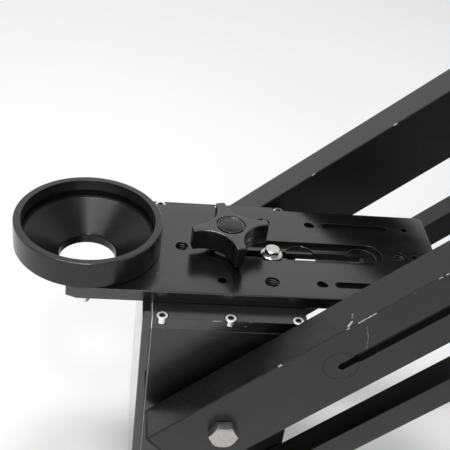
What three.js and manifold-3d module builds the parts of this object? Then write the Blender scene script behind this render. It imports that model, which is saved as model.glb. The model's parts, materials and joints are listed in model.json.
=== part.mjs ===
// Camera jib crane. Twin main beams and twin control rods form a parallelogram that keeps
// the camera head level while the boom tilts on its fulcrum.
// Millimetres, +Z up. The origin is the centre of the underside of the mounting flange.
// The camera head lies on the -X side, the counterweight bar on the +X side, left is -Y.
import * as THREE from 'three';
import { mergeVertices } from 'three/addons/utils/BufferGeometryUtils.js';
import Module from 'manifold-3d';

const wasm = await Module();
wasm.setup();

// Boom layout
const restPitchDeg = 42;
const frontReach = 1100;
const rearReach = 420;
const linkHeight = 115;

// Clearances between neighbours, and how far a cutting tool runs past a face
const fit = 0.3;
const overrun = 2;

// Main beams
const beamInner = 79;
const beamWidth = 29.3;
const beamHeight = 57;
const beamNose = 48;
const beamTail = 40;
const beamEdge = 0.8;
const grooveStart = 103;
const grooveStop = 170;
const grooveWidth = 6;
const grooveDepth = 3.8;
const stepSetback = 14;
const stepWidth = 8.2;
const stepDepth = 2;
const beamWall = 3;
const grooveWall = 6;
const capPlug = 9;
const capPlate = 3;

// Control rods
const rodInner = 74;
const rodWidth = 21;
const rodHeight = 22;
const rodEdge = 0.6;

// Beam cross bars and counterweight bar
const crossBarRadius = 12;
const frontCrossAt = 230;
const rearCrossAt = 200;
const weightBarRadius = 12.5;
const weightBarReach = 200;
const weightBarEdge = 2;
const collarRadius = 23;
const collarWidth = 18;
const collarStand = 12;
const collarEdge = 1.5;
const collarScrewRadius = 5;
const collarScrewHeight = 9;

// Head bracket
const bracketFront = 42.5;
const frontPlateThickness = 6.5;
const topPlateLength = 113;
const bracketHalfWidth = 72.7;
const topPlateThickness = 10;
const sidePlateThickness = 8;
const bracketFoot = 25;
const sidePlateCorner = 22;
const bottomPlateThickness = 8;
const plateEdge = 0.6;
const headPivotX = 106;
const headPivotDrop = 85;

// Screws of the bracket's top plate, whose counterbores break out through the plate's edge
const topScrewPitch = 49.5;
const topScrewInset = 3.7;
const capHeadRadius = 4.25;
const capHeadHeight = 5;
const capShankRadius = 2.5;
const capShankLength = 16;
const capSocketRadius = 2.3;
const capSocketDepth = 2.6;
const capEdge = 0.4;
const counterboreRadius = 4.75;

// Camera slide plate, in the head's own frame: x = 0 and z = 0 are the bowl's axis and the plate's top
const slideFront = 13;
const slideRear = 274;
const slideHalfWidth = 55;
const slideThickness = 10;
const slideFrontCornerLength = 8;
const slideFrontCornerWidth = 3.2;
const slideRearCorner = 5;
const slideEdge = 1;
const slotFront = 102;
const slotRear = 213;
const slotWidth = 8.4;
const recessFront = 106;
const recessRear = 216.6;
const recessWidth = 25.2;
const recessDepth = 4;
const pocketFrontX = 162;
const pocketRearX = 214;
const pocketRadius = 12.2;
const pocketDepth = 5.5;
const sideSlotFront = 189;
const sideSlotRear = 237;
const sideSlotWidth = 5;
const sideLine = 38.3;
const innerLine = 33;
const pinHoleFrontX = 100.6;
const threadFrontX = 71.6;
const threadRearX = 243.7;
const sideThreadX = 138.4;
const sidePinX = 175.8;
const rearPinX = 254.8;
const centrePinX = 256.1;
const mainThreadRadius = 4.6;
const sideThreadRadius = 5;
const pinHoleRadius = 3.3;
const rearPinRadius = 2.5;

// Bowl
const bowlRimRadius = 50;
const bowlOuterRadius = 55.5;
const bowlHeight = 22;
const bowlStepRadius = 48.4;
const bowlStepHeight = 7.4;
const bowlConeRadius = 47;
const bowlConeHeight = 6.2;
const bowlConeFloorRadius = 22.2;
const bowlConeFloorDepth = 6.3;
const bowlHoleRadius = 21;
const bowlLipDepth = 7.4;
const bowlHubRadius = 38;
const bowlHubDrop = 1.6;
const bowlEdge = 0.7;
const bowlScrewCircle = 49;
const bowlScrewDeg = 35;
const bowlScrewThread = 4;

// Clamp knob and flange bolt
const clampX = 107;
const clampTurnDeg = 12.5;
const flangeBoltX = 142;
const clampStudRadius = 3.9;
const clampStudDrop = 18;
const clampStudRise = 12;
const knobReach = 29.8;
const knobTipHalf = 3.9;
const knobWaist = 14.7;
const knobHeight = 15;
const knobHubRadius = 11;
const knobFootRadius = 15;
const knobHubDrop = 6;
const knobWall = 2.2;
const knobRoof = 5;
const knobEdge = 0.8;
const knobCapRadius = 10.3;
const knobCapDepth = 1.4;
const boltFlangeRadius = 8.8;
const boltRimHeight = 1.3;
const boltFlangeHeight = 2;
const boltHexRadius = 6.9;
const boltHexHeight = 3.6;

// Pivots at the head
const headAxleRadius = 6;
const headBushRadius = 9;
const spacerRadius = 13;
const rodAxleRadius = 5;
const hexHeadRadius = 11;
const hexHeadHeight = 7.5;
const rodHexRadius = 9;
const rodHexHeight = 6;
const axleStub = 3;

// Fulcrum: flange, pan bearing, platform and yoke
const flangeRadius = 70;
const flangeThickness = 12;
const flangeBoltCircle = 58;
const flangeHoleRadius = 4.3;
const housingRadius = 50;
const housingHeight = 34;
const housingFloor = 4;
const spindleRadius = 20;
const bearingHeight = 5.4;
const bearingRadius = 47;
const platformHalfLength = 60;
const platformThickness = 12;
const platformCorner = 14;
const yokePlateThickness = 10;
const yokeFootHalf = 52;
const yokeHeadRadius = 34;
const rodPivotRise = 44;
const braceThickness = 8;
const braceHeight = 68;
const braceSetback = 16;
const tiltAxleRadius = 10;
const tiltBushRadius = 15;
const tiltSpacerRadius = 20;
const tiltHexRadius = 17;
const tiltHexHeight = 10;

// Brake knobs of the fulcrum
const tiltKnobReach = 36;
const tiltKnobTipHalf = 7;
const tiltKnobWaist = 21;
const tiltKnobHeight = 18;
const tiltKnobHubRadius = 17;
const tiltKnobHubDrop = 6;
const panKnobReach = 16;
const panKnobTipHalf = 3.4;
const panKnobWaist = 9.5;
const panKnobHeight = 14;
const panKnobHubRadius = 7;
const panKnobHubDrop = 8;
const panStudRadius = 4;

// Facet counts
const bowlSides = 52;
const roundSides = 32;
const boreSides = 18;
const screwSides = 12;
const arcSteps = 3;
const starSteps = 6;

// Places that follow from the sizes above
const beamOuter = beamInner + beamWidth;
const rodOuter = rodInner + rodWidth;
const restPitch = THREE.MathUtils.degToRad(restPitchDeg);
const housingTop = flangeThickness + housingHeight;
const platformBottom = housingTop + fit + bearingHeight + fit;
const platformTop = platformBottom + platformThickness;
const rodPivotHeight = platformTop + rodPivotRise;
const tiltHeight = rodPivotHeight + linkHeight;
const topPlateFront = bracketFront + frontPlateThickness;
const topPlateRear = topPlateFront + topPlateLength;
const topPlateTop = -slideThickness;
const topPlateBottom = topPlateTop - topPlateThickness;
const sidePlateBottom = -headPivotDrop - linkHeight - bracketFoot;
const topScrewY = bracketHalfWidth - topScrewInset;

// Finishes
const anodised = { color: 0x3a3a3c, metalness: 0.6, roughness: 0.45 };
const anodisedBeam = { color: 0x343437, metalness: 0.6, roughness: 0.42 };
const blackPlastic = { color: 0x18181a, metalness: 0, roughness: 0.35 };
const stainless = { color: 0xc8c8cc, metalness: 1, roughness: 0.25 };
const bronze = { color: 0x9a7440, metalness: 1, roughness: 0.4 };

// A circle of this radius, drawn round a faceted bore, keeps every facet outside the true radius
function outside(radius, sides) {
  return radius / Math.cos(Math.PI / sides);
}

// A closed geometry as a solid that can be cut and joined
function solid(geometry) {
  const plain = geometry.clone();
  plain.deleteAttribute('normal');
  plain.deleteAttribute('uv');
  const merged = mergeVertices(plain);
  const vertProperties = new Float32Array(merged.attributes.position.array);
  const triVerts = new Uint32Array(merged.index.array);
  return new wasm.Manifold(new wasm.Mesh({ numProp: 3, vertProperties, triVerts }));
}

// The faces of a solid as a geometry again
function surface(body) {
  const { vertProperties, triVerts } = body.getMesh();
  const geometry = new THREE.BufferGeometry();
  geometry.setAttribute('position', new THREE.BufferAttribute(vertProperties, 3));
  geometry.setIndex(new THREE.BufferAttribute(triVerts, 1));
  geometry.computeVertexNormals();
  return geometry;
}

function cut(geometry, tools) {
  return surface(tools.reduce((body, tool) => body.subtract(solid(tool)), solid(geometry)));
}

function join(geometries) {
  return surface(geometries.map(solid).reduce((body, next) => body.add(next)));
}

function cylinderY(radius, from, to, sides = roundSides) {
  return new THREE.CylinderGeometry(radius, radius, to - from, sides).translate(0, (from + to) / 2, 0);
}

function cylinderZ(radius, from, to, sides = roundSides) {
  const geometry = new THREE.CylinderGeometry(radius, radius, to - from, sides);
  return geometry.rotateX(Math.PI / 2).translate(0, 0, (from + to) / 2);
}

function cylinderX(radius, from, to, sides = roundSides) {
  const geometry = new THREE.CylinderGeometry(radius, radius, to - from, sides);
  return geometry.rotateZ(Math.PI / 2).translate((from + to) / 2, 0, 0);
}

function boreY(radius, from, to, x, z) {
  return cylinderY(outside(radius + fit, boreSides), from, to, boreSides).translate(x, 0, z);
}

function block(xs, ys, zs) {
  const size = [xs, ys, zs].map(([low, high]) => high - low);
  const middle = [xs, ys, zs].map(([low, high]) => (low + high) / 2);
  return new THREE.BoxGeometry(...size).translate(...middle);
}

// A ring or disc about Z, from a profile of [radius, height] pairs, anticlockwise in the (r, z) plane
function revolve(profile, sides = roundSides) {
  const points = profile.map(([radius, height]) => new THREE.Vector2(radius, height));
  const onAxis = points[0].x === 0;
  if (!onAxis) points.push(points[0].clone());
  return new THREE.LatheGeometry(points, sides).rotateX(Math.PI / 2);
}

// An outline extruded along Z with both of its edges chamfered
function plate(shape, from, to, edge) {
  const geometry = new THREE.ExtrudeGeometry(shape, {
    depth: to - from - 2 * edge,
    bevelEnabled: true,
    bevelThickness: edge,
    bevelSize: edge,
    bevelOffset: -edge,
    bevelSegments: 1,
    curveSegments: arcSteps,
  });
  return geometry.translate(0, 0, from + edge);
}

// The same outline with sharp edges, for cutting tools
function prism(shape, from, to) {
  const geometry = new THREE.ExtrudeGeometry(shape, {
    depth: to - from,
    bevelEnabled: false,
    curveSegments: arcSteps,
  });
  return geometry.translate(0, 0, from);
}

// A lying plate or prism between 0 and its thickness, stood up in the XZ plane between two values of y
function stand(lying, to) {
  return lying.rotateX(Math.PI / 2).translate(0, to, 0);
}

function standingPlate(shape, from, to, edge) {
  return stand(plate(shape, 0, to - from, edge), to);
}

function standingPrism(shape, from, to) {
  return stand(prism(shape, 0, to - from), to);
}

// A plate that faces along X, its outline given in y and z
function facingPlate(shape, from, to, edge) {
  const turn = new THREE.Matrix4().makeBasis(
    new THREE.Vector3(0, 1, 0),
    new THREE.Vector3(0, 0, 1),
    new THREE.Vector3(1, 0, 0),
  );
  return plate(shape, 0, to - from, edge).applyMatrix4(turn).translate(from, 0, 0);
}

function polygon(points) {
  return new THREE.Shape(points.map(([x, y]) => new THREE.Vector2(x, y)));
}

function rectangle(x0, x1, y0, y1) {
  return polygon([[x0, y0], [x1, y0], [x1, y1], [x0, y1]]);
}

function roundedRectangle(x0, x1, y0, y1, radius) {
  const shape = new THREE.Shape();
  shape.absarc(x1 - radius, y1 - radius, radius, 0, Math.PI / 2);
  shape.absarc(x0 + radius, y1 - radius, radius, Math.PI / 2, Math.PI);
  shape.absarc(x0 + radius, y0 + radius, radius, Math.PI, 1.5 * Math.PI);
  shape.absarc(x1 - radius, y0 + radius, radius, 1.5 * Math.PI, 2 * Math.PI);
  return shape;
}

// A slot with round ends, whose end centres lie at x0 and x1
function slotOutline(x0, x1, y, width) {
  const outline = new THREE.Shape();
  outline.absarc(x1, y, width / 2, -Math.PI / 2, Math.PI / 2);
  outline.absarc(x0, y, width / 2, Math.PI / 2, 1.5 * Math.PI);
  return outline;
}

function circleOutline(x, y, radius) {
  const outline = new THREE.Shape();
  outline.absarc(x, y, radius, 0, Math.PI);
  outline.absarc(x, y, radius, Math.PI, 2 * Math.PI);
  return outline;
}

// A span of y on one side of the crane, low value first
function sideSpan(side, inner, outer) {
  return side < 0 ? [-outer, -inner] : [inner, outer];
}

const crane = new THREE.Group();

function addGroup(parent, x, z, pitch = 0) {
  const group = new THREE.Group();
  group.position.set(x, 0, z);
  group.rotation.y = -pitch;
  parent.add(group);
  return group;
}

const boom = addGroup(crane, 0, tiltHeight, restPitch);
const rods = addGroup(crane, 0, rodPivotHeight, restPitch);
const head = addGroup(
  crane,
  -frontReach * Math.cos(restPitch) - headPivotX,
  tiltHeight - frontReach * Math.sin(restPitch) + headPivotDrop,
);

function add(parent, name, geometry, finish) {
  const mesh = new THREE.Mesh(geometry, new THREE.MeshStandardMaterial(finish));
  mesh.name = name;
  parent.add(mesh);
  return mesh;
}

const sides = [['left', -1], ['right', 1]];

// The hollow of a beam in y and z, whose outer wall is the thicker one because of its groove
function beamHollow(side, gap) {
  const ys = sideSpan(side, beamInner + beamWall + gap, beamOuter - grooveWall - gap);
  const half = beamHeight / 2 - beamWall - gap;
  return [ys, [-half, half]];
}

// Main beam: a box section with chamfered edges, a stepped groove along its outer face,
// and bores for its bushes and the counterweight bar
function mainBeam(side) {
  const ys = sideSpan(side, beamInner, beamOuter);
  const half = beamHeight / 2;
  const front = -frontReach - beamNose;
  const rear = rearReach + beamTail;
  const section = polygon([
    [ys[0] + beamEdge, -half], [ys[1] - beamEdge, -half],
    [ys[1], -half + beamEdge], [ys[1], half - beamEdge],
    [ys[1] - beamEdge, half], [ys[0] + beamEdge, half],
    [ys[0], half - beamEdge], [ys[0], -half + beamEdge],
  ]);
  const bar = facingPlate(section, front, rear, beamEdge / 2);
  const grooveFrom = -frontReach + grooveStart;
  const narrow = slotOutline(grooveFrom, -grooveStop, 0, grooveWidth);
  const wide = slotOutline(grooveFrom + stepSetback, -grooveStop - stepSetback, 0, stepWidth);
  const grooveYs = (depth) => sideSpan(side, beamOuter - depth, beamOuter + overrun);
  const through = [ys[0] - overrun, ys[1] + overrun];
  return cut(bar, [
    standingPrism(narrow, ...grooveYs(grooveDepth)),
    standingPrism(wide, ...grooveYs(stepDepth)),
    boreY(headBushRadius, ...through, -frontReach, 0),
    boreY(tiltBushRadius, ...through, 0, 0),
    boreY(weightBarRadius, ...through, rearReach, 0),
    block([front - overrun, rear + overrun], ...beamHollow(side, 0)),
  ]);
}

// End cap: a chamfered plate with a plug that sits in the beam's hollow
function beamCap(side, end) {
  const ys = sideSpan(side, beamInner, beamOuter);
  const half = beamHeight / 2;
  const face = end < 0 ? -frontReach - beamNose : rearReach + beamTail;
  const xs = (from, to) => [face + end * from, face + end * to].sort((a, b) => a - b);
  const outer = facingPlate(rectangle(ys[0], ys[1], -half, half), ...xs(fit, fit + capPlate), beamEdge);
  const plug = block(xs(-capPlug, fit + beamEdge), ...beamHollow(side, fit));
  return join([outer, plug]);
}

// A plain ring about the Y axis
function ring(outer, inner, ys) {
  const bore = cylinderY(outside(inner + fit, boreSides), ys[0] - overrun, ys[1] + overrun, boreSides);
  return cut(cylinderY(outer, ...ys, boreSides), [bore]);
}

for (const [sideName, side] of sides) {
  const ys = sideSpan(side, beamInner, beamOuter);
  add(boom, `beam_${sideName}`, mainBeam(side), anodisedBeam);
  add(boom, `beam_cap_front_${sideName}`, beamCap(side, -1), blackPlastic);
  add(boom, `beam_cap_rear_${sideName}`, beamCap(side, 1), blackPlastic);
  const headBush = ring(headBushRadius, headAxleRadius, ys).translate(-frontReach, 0, 0);
  add(boom, `head_bush_${sideName}`, headBush, bronze);
  add(boom, `tilt_bush_${sideName}`, ring(tiltBushRadius, tiltAxleRadius, ys), bronze);
}

// Cross bars between the beams, and the counterweight bar through their rear ends
function crossBar(at) {
  return cylinderY(crossBarRadius, -beamInner + fit, beamInner - fit, boreSides).translate(at, 0, 0);
}

add(boom, 'cross_bar_front', crossBar(-frontCrossAt), anodised);
add(boom, 'cross_bar_rear', crossBar(rearCrossAt), anodised);

function weightBar() {
  const end = weightBarReach - weightBarEdge;
  const profile = [
    [0, -weightBarReach], [weightBarRadius - weightBarEdge, -weightBarReach], [weightBarRadius, -end],
    [weightBarRadius, end], [weightBarRadius - weightBarEdge, weightBarReach], [0, weightBarReach],
  ];
  return revolve(profile, boreSides).rotateX(-Math.PI / 2).translate(rearReach, 0, 0);
}

add(boom, 'counterweight_bar', weightBar(), stainless);

// Weight collar: a ring on the counterweight bar with its thumb screw
function weightCollar(side) {
  const from = beamOuter + collarStand;
  const ys = sideSpan(side, from, from + collarWidth);
  const middle = (ys[0] + ys[1]) / 2;
  const half = collarWidth / 2;
  const inner = outside(weightBarRadius + fit, boreSides);
  const profile = [
    [inner, -half], [collarRadius - collarEdge, -half], [collarRadius, -half + collarEdge],
    [collarRadius, half - collarEdge], [collarRadius - collarEdge, half], [inner, half],
  ];
  const body = revolve(profile, boreSides).rotateX(-Math.PI / 2);
  const screwFrom = collarRadius - collarEdge;
  const screw = cylinderZ(collarScrewRadius, screwFrom, collarRadius + collarScrewHeight, screwSides);
  return join([body, screw]).translate(rearReach, middle, 0);
}

for (const [sideName, side] of sides) {
  add(boom, `weight_collar_${sideName}`, weightCollar(side), stainless);
}

// Control rod: a bar with round ends, bored for its two pivots
function controlRod(side) {
  const ys = sideSpan(side, rodInner, rodOuter);
  const bar = standingPlate(slotOutline(-frontReach, 0, 0, rodHeight), ...ys, rodEdge);
  const through = [ys[0] - overrun, ys[1] + overrun];
  return cut(bar, [
    boreY(rodAxleRadius, ...through, -frontReach, 0),
    boreY(rodAxleRadius, ...through, 0, 0),
  ]);
}

for (const [sideName, side] of sides) {
  add(rods, `control_rod_${sideName}`, controlRod(side), anodisedBeam);
}

// Hexagonal prism about the Y axis
function hexY(radius, from, to) {
  return cylinderY(radius, from, to, 6);
}

// Pivot axle: a shaft through both sides of the crane with a hexagonal head on the left
function pivotAxle(radius, seat, hexRadius, hexHeight, x, z) {
  const headYs = [-seat - fit - hexHeight, -seat - fit];
  const tip = seat + fit + hexHeight + axleStub;
  const shaft = cylinderY(radius, headYs[1] - fit, tip, boreSides);
  return join([shaft, hexY(hexRadius, ...headYs)]).translate(x, 0, z);
}

function pivotNut(radius, seat, hexRadius, hexHeight, x, z) {
  const ys = [seat + fit, seat + fit + hexHeight];
  const bore = cylinderY(outside(radius + fit, boreSides), ys[0] - overrun, ys[1] + overrun, boreSides);
  return cut(hexY(hexRadius, ...ys), [bore]).translate(x, 0, z);
}

// Head bracket: a box of anodised plates that the beams and rods carry on two axles
function bracketTopPlate() {
  const outline = rectangle(topPlateFront, topPlateRear, -bracketHalfWidth, bracketHalfWidth);
  const tools = [];
  const through = [topPlateBottom - overrun, topPlateTop + overrun];
  for (const [, side] of sides) {
    for (const step of [-1, 0, 1]) {
      const x = headPivotX + step * topScrewPitch;
      const y = side * topScrewY;
      const seat = topPlateTop - capHeadHeight - fit;
      const bore = outside(counterboreRadius, screwSides);
      const shank = outside(capShankRadius + fit, screwSides);
      tools.push(cylinderZ(bore, seat, topPlateTop + overrun, screwSides).translate(x, y, 0));
      tools.push(cylinderZ(shank, topPlateBottom - overrun, seat + overrun, screwSides).translate(x, y, 0));
    }
  }
  for (const x of [clampX, flangeBoltX]) {
    const bore = outside(clampStudRadius + fit, boreSides);
    tools.push(cylinderZ(bore, ...through, boreSides).translate(x, 0, 0));
  }
  return cut(plate(outline, topPlateBottom, topPlateTop, plateEdge), tools);
}

add(head, 'bracket_top_plate', bracketTopPlate(), anodised);

function bracketFrontPlate() {
  const outline = rectangle(-bracketHalfWidth, bracketHalfWidth, sidePlateBottom, topPlateTop);
  return facingPlate(outline, bracketFront, topPlateFront, plateEdge);
}

add(head, 'bracket_front_plate', bracketFrontPlate(), anodised);

function bracketSidePlate(side) {
  const ys = sideSpan(side, bracketHalfWidth - sidePlateThickness, bracketHalfWidth);
  const outline = polygon([
    [topPlateFront, sidePlateBottom], [topPlateRear - sidePlateCorner, sidePlateBottom],
    [topPlateRear, sidePlateBottom + sidePlateCorner], [topPlateRear, topPlateBottom],
    [topPlateFront, topPlateBottom],
  ]);
  const through = [ys[0] - overrun, ys[1] + overrun];
  const tools = [
    boreY(headAxleRadius, ...through, headPivotX, -headPivotDrop),
    boreY(rodAxleRadius, ...through, headPivotX, -headPivotDrop - linkHeight),
  ];
  const depth = capHeadHeight + capShankLength + overrun;
  for (const step of [-1, 0, 1]) {
    const bore = outside(capShankRadius + fit, screwSides);
    const hole = cylinderZ(bore, topPlateTop - depth, topPlateBottom + overrun, screwSides);
    tools.push(hole.translate(headPivotX + step * topScrewPitch, side * topScrewY, 0));
  }
  return cut(standingPlate(outline, ...ys, plateEdge), tools);
}

for (const [sideName, side] of sides) {
  add(head, `bracket_side_plate_${sideName}`, bracketSidePlate(side), anodised);
}

function bracketBottomPlate() {
  const half = bracketHalfWidth - sidePlateThickness;
  const outline = rectangle(topPlateFront, topPlateRear - sidePlateCorner, -half, half);
  return plate(outline, sidePlateBottom, sidePlateBottom + bottomPlateThickness, plateEdge);
}

add(head, 'bracket_bottom_plate', bracketBottomPlate(), anodised);

// Socket cap screw standing on z = 0 at the seat of its head, its shank pointing down
function capScrew(shankLength) {
  const edgeRadius = capHeadRadius - capEdge;
  const profile = [
    [0, -shankLength], [capShankRadius, -shankLength], [capShankRadius, 0], [capHeadRadius, 0],
    [capHeadRadius, capHeadHeight - capEdge], [edgeRadius, capHeadHeight], [0, capHeadHeight],
  ];
  const socket = cylinderZ(capSocketRadius, capHeadHeight - capSocketDepth, capHeadHeight + overrun, 6);
  return cut(revolve(profile, screwSides), [socket]);
}

for (const [sideName, side] of sides) {
  ['front', 'middle', 'rear'].forEach((place, index) => {
    const x = headPivotX + (index - 1) * topScrewPitch;
    const screw = capScrew(capShankLength).translate(x, side * topScrewY, topPlateTop - capHeadHeight);
    add(head, `top_screw_${place}_${sideName}`, screw, stainless);
  });
}

const beamSeat = beamOuter;
const beamPivot = [headPivotX, -headPivotDrop];
const rodPivot = [headPivotX, -headPivotDrop - linkHeight];
const beamAxleSizes = [headAxleRadius, beamSeat, hexHeadRadius, hexHeadHeight];
const rodAxleSizes = [rodAxleRadius, rodOuter, rodHexRadius, rodHexHeight];
add(head, 'head_beam_axle', pivotAxle(...beamAxleSizes, ...beamPivot), stainless);
add(head, 'head_beam_nut', pivotNut(...beamAxleSizes, ...beamPivot), stainless);
add(head, 'head_rod_axle', pivotAxle(...rodAxleSizes, ...rodPivot), stainless);
add(head, 'head_rod_nut', pivotNut(...rodAxleSizes, ...rodPivot), stainless);
for (const [sideName, side] of sides) {
  const ys = sideSpan(side, bracketHalfWidth, beamInner - fit);
  const spacer = ring(spacerRadius, headAxleRadius, ys).translate(headPivotX, 0, -headPivotDrop);
  add(head, `head_spacer_${sideName}`, spacer, anodised);
}

// Hexagonal flange bolt that guides the slide plate: its flange runs in the plate's recess
function flangeBolt() {
  const seat = -recessDepth + fit;
  const crown = seat + boltFlangeHeight;
  const top = crown + boltHexHeight;
  const tip = topPlateBottom;
  const profile = [
    [0, tip], [clampStudRadius, tip], [clampStudRadius, seat], [boltFlangeRadius - capEdge, seat],
    [boltFlangeRadius, seat + capEdge], [boltFlangeRadius, seat + boltRimHeight],
    [boltHexRadius, crown], [0, crown],
  ];
  const hex = cylinderZ(boltHexRadius, crown - fit, top, 6);
  const coneSize = boltHexRadius + boltHexHeight;
  const crownCone = new THREE.ConeGeometry(coneSize, coneSize, boreSides).rotateX(Math.PI / 2);
  crownCone.translate(0, 0, top + boltHexHeight - coneSize / 2 + capEdge);
  const chamferedHex = surface(solid(hex).intersect(solid(crownCone)));
  return join([revolve(profile, boreSides), chamferedHex]).translate(flangeBoltX, 0, 0);
}

add(head, 'flange_bolt', flangeBolt(), stainless);

// Star outline with four lobes: flat tips joined by arcs that curve in to the waist
function starOutline(reach, tipHalf, waist) {
  const span = reach + tipHalf - Math.SQRT2 * waist;
  const centre = (reach * reach + tipHalf * tipHalf - waist * waist) / (2 * span);
  const radius = Math.SQRT2 * centre - waist;
  const start = Math.atan2(tipHalf - centre, reach - centre);
  const end = -1.5 * Math.PI - start;
  const points = [];
  for (let lobe = 0; lobe < 4; lobe += 1) {
    const turn = lobe * Math.PI / 2;
    for (let step = 0; step <= starSteps; step += 1) {
      const angle = start + (end - start) * step / starSteps;
      const x = centre + radius * Math.cos(angle);
      const y = centre + radius * Math.sin(angle);
      points.push([x * Math.cos(turn) - y * Math.sin(turn), x * Math.sin(turn) + y * Math.cos(turn)]);
    }
  }
  return polygon(points);
}

// Moulded star grip about Z: its foot stands on z = 0 and its lobes are hollow from below
function starGrip(sizes) {
  const { reach, tipHalf, waist, height, hubRadius, footRadius = hubRadius, hubDrop, bore, blind } = sizes;
  const top = hubDrop + height;
  const shell = plate(starOutline(reach, tipHalf, waist), hubDrop, top, knobEdge);
  const pocketOutline = starOutline(reach - knobWall, tipHalf - knobWall, waist - knobWall);
  const pocket = prism(pocketOutline, hubDrop - overrun, top - knobRoof);
  const hub = cylinderZ(hubRadius, 0, top - knobRoof + fit, boreSides);
  const foot = cylinderZ(footRadius, 0, hubDrop + fit, boreSides);
  const hole = cylinderZ(outside(bore + fit, boreSides), -overrun, blind, boreSides);
  return cut(join([cut(shell, [pocket]), hub, foot]), [hole]);
}

function clampGrip() {
  const grip = starGrip({
    reach: knobReach, tipHalf: knobTipHalf, waist: knobWaist, height: knobHeight,
    hubRadius: knobHubRadius, footRadius: knobFootRadius, hubDrop: knobHubDrop,
    bore: clampStudRadius, blind: clampStudRise + fit,
  });
  const top = knobHubDrop + knobHeight;
  const seatRadius = outside(knobCapRadius + fit, boreSides);
  const seat = cylinderZ(seatRadius, top - knobCapDepth, top + overrun, boreSides);
  return cut(grip, [seat]);
}

const clamp = addGroup(head, clampX, fit);
clamp.rotation.z = THREE.MathUtils.degToRad(clampTurnDeg);
add(clamp, 'clamp_knob_grip', clampGrip(), blackPlastic);
const clampStud = cylinderZ(clampStudRadius, -clampStudDrop, clampStudRise, boreSides);
add(clamp, 'clamp_knob_stud', clampStud, stainless);

function knobCap() {
  const top = knobHubDrop + knobHeight;
  const seat = top - knobCapDepth + fit;
  const profile = [
    [0, seat], [knobCapRadius, seat], [knobCapRadius, top - fit], [knobCapRadius - knobEdge, top + fit],
    [0, top + knobEdge],
  ];
  return revolve(profile, boreSides);
}

add(clamp, 'clamp_knob_cap', knobCap(), blackPlastic);

// Camera slide plate: recessed slot for the clamp with two round pockets in its floor, side slots,
// camera holes and the bowl's notch
function slidePlate() {
  const outline = new THREE.Shape();
  outline.moveTo(-slideFront, -slideHalfWidth + slideFrontCornerWidth);
  outline.lineTo(-slideFront + slideFrontCornerLength, -slideHalfWidth);
  outline.lineTo(slideRear - slideRearCorner, -slideHalfWidth);
  const cornerX = slideRear - slideRearCorner;
  const cornerY = slideHalfWidth - slideRearCorner;
  outline.absarc(cornerX, -cornerY, slideRearCorner, -Math.PI / 2, 0);
  outline.absarc(cornerX, cornerY, slideRearCorner, 0, Math.PI / 2);
  outline.lineTo(-slideFront + slideFrontCornerLength, slideHalfWidth);
  outline.lineTo(-slideFront, slideHalfWidth - slideFrontCornerWidth);

  const holes = [slotOutline(slotFront, slotRear, 0, slotWidth)];
  holes.push(circleOutline(threadFrontX, 0, mainThreadRadius));
  holes.push(circleOutline(threadRearX, 0, mainThreadRadius));
  holes.push(circleOutline(centrePinX, 0, rearPinRadius));
  for (const [, side] of sides) {
    holes.push(slotOutline(sideSlotFront, sideSlotRear, side * sideLine, sideSlotWidth));
    holes.push(circleOutline(pinHoleFrontX, side * innerLine, pinHoleRadius));
    holes.push(circleOutline(sideThreadX, side * sideLine, sideThreadRadius));
    holes.push(circleOutline(sidePinX, side * sideLine, pinHoleRadius));
    holes.push(circleOutline(rearPinX, side * sideLine, rearPinRadius));
    for (const [x, y] of bowlScrewPlaces(side)) {
      holes.push(circleOutline(x, y, outside(capShankRadius + fit, screwSides)));
    }
  }
  const under = -slideThickness - overrun;
  const recess = prism(slotOutline(recessFront, recessRear, 0, recessWidth), -recessDepth, overrun);
  const pockets = [pocketFrontX, pocketRearX].map((x) => (
    cylinderZ(pocketRadius, -pocketDepth, overrun - recessDepth, boreSides).translate(x, 0, 0)
  ));
  const notch = cylinderZ(outside(bowlHubRadius + fit, bowlSides), under, overrun, bowlSides);
  const drills = holes.map((hole) => prism(hole, under, overrun));
  return cut(plate(outline, -slideThickness, 0, slideEdge), [...drills, recess, ...pockets, notch]);
}

// Screws that hold the bowl from below: one beside the bowl's axis and one behind it, on each side
function bowlScrewPlaces(side) {
  return [0, THREE.MathUtils.degToRad(bowlScrewDeg)].map((turn) => [
    bowlScrewCircle * Math.sin(turn),
    side * bowlScrewCircle * Math.cos(turn),
  ]);
}

add(head, 'slide_plate', slidePlate(), anodised);

// Bowl: flat rim, stepped inner wall, cone down to the open hole, and a hub that seats in the plate's notch
function bowl() {
  const bottom = -slideThickness - bowlHubDrop;
  const profile = [
    [bowlHoleRadius, bottom], [bowlHubRadius - bowlEdge, bottom], [bowlHubRadius, bottom + bowlEdge],
    [bowlHubRadius, 0], [bowlOuterRadius - bowlEdge, 0], [bowlOuterRadius, bowlEdge],
    [bowlOuterRadius, bowlHeight - bowlEdge], [bowlOuterRadius - bowlEdge, bowlHeight],
    [bowlRimRadius + bowlEdge, bowlHeight], [bowlRimRadius, bowlHeight - bowlEdge],
    [bowlStepRadius, bowlStepHeight], [bowlConeRadius, bowlConeHeight],
    [bowlConeFloorRadius, -bowlConeFloorDepth], [bowlHoleRadius, -bowlLipDepth],
  ];
  const tools = [];
  for (const [, side] of sides) {
    for (const [x, y] of bowlScrewPlaces(side)) {
      const bore = outside(capShankRadius + fit, screwSides);
      tools.push(cylinderZ(bore, -overrun, bowlScrewThread + fit, screwSides).translate(x, y, 0));
    }
  }
  return cut(revolve(profile, bowlSides), tools);
}

add(head, 'bowl', bowl(), anodised);

for (const [sideName, side] of sides) {
  bowlScrewPlaces(side).forEach(([x, y], index) => {
    const screw = capScrew(slideThickness + bowlScrewThread).rotateX(Math.PI);
    screw.translate(x, y, -slideThickness);
    add(head, `bowl_screw_${['side', 'rear'][index]}_${sideName}`, screw, stainless);
  });
}

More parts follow.
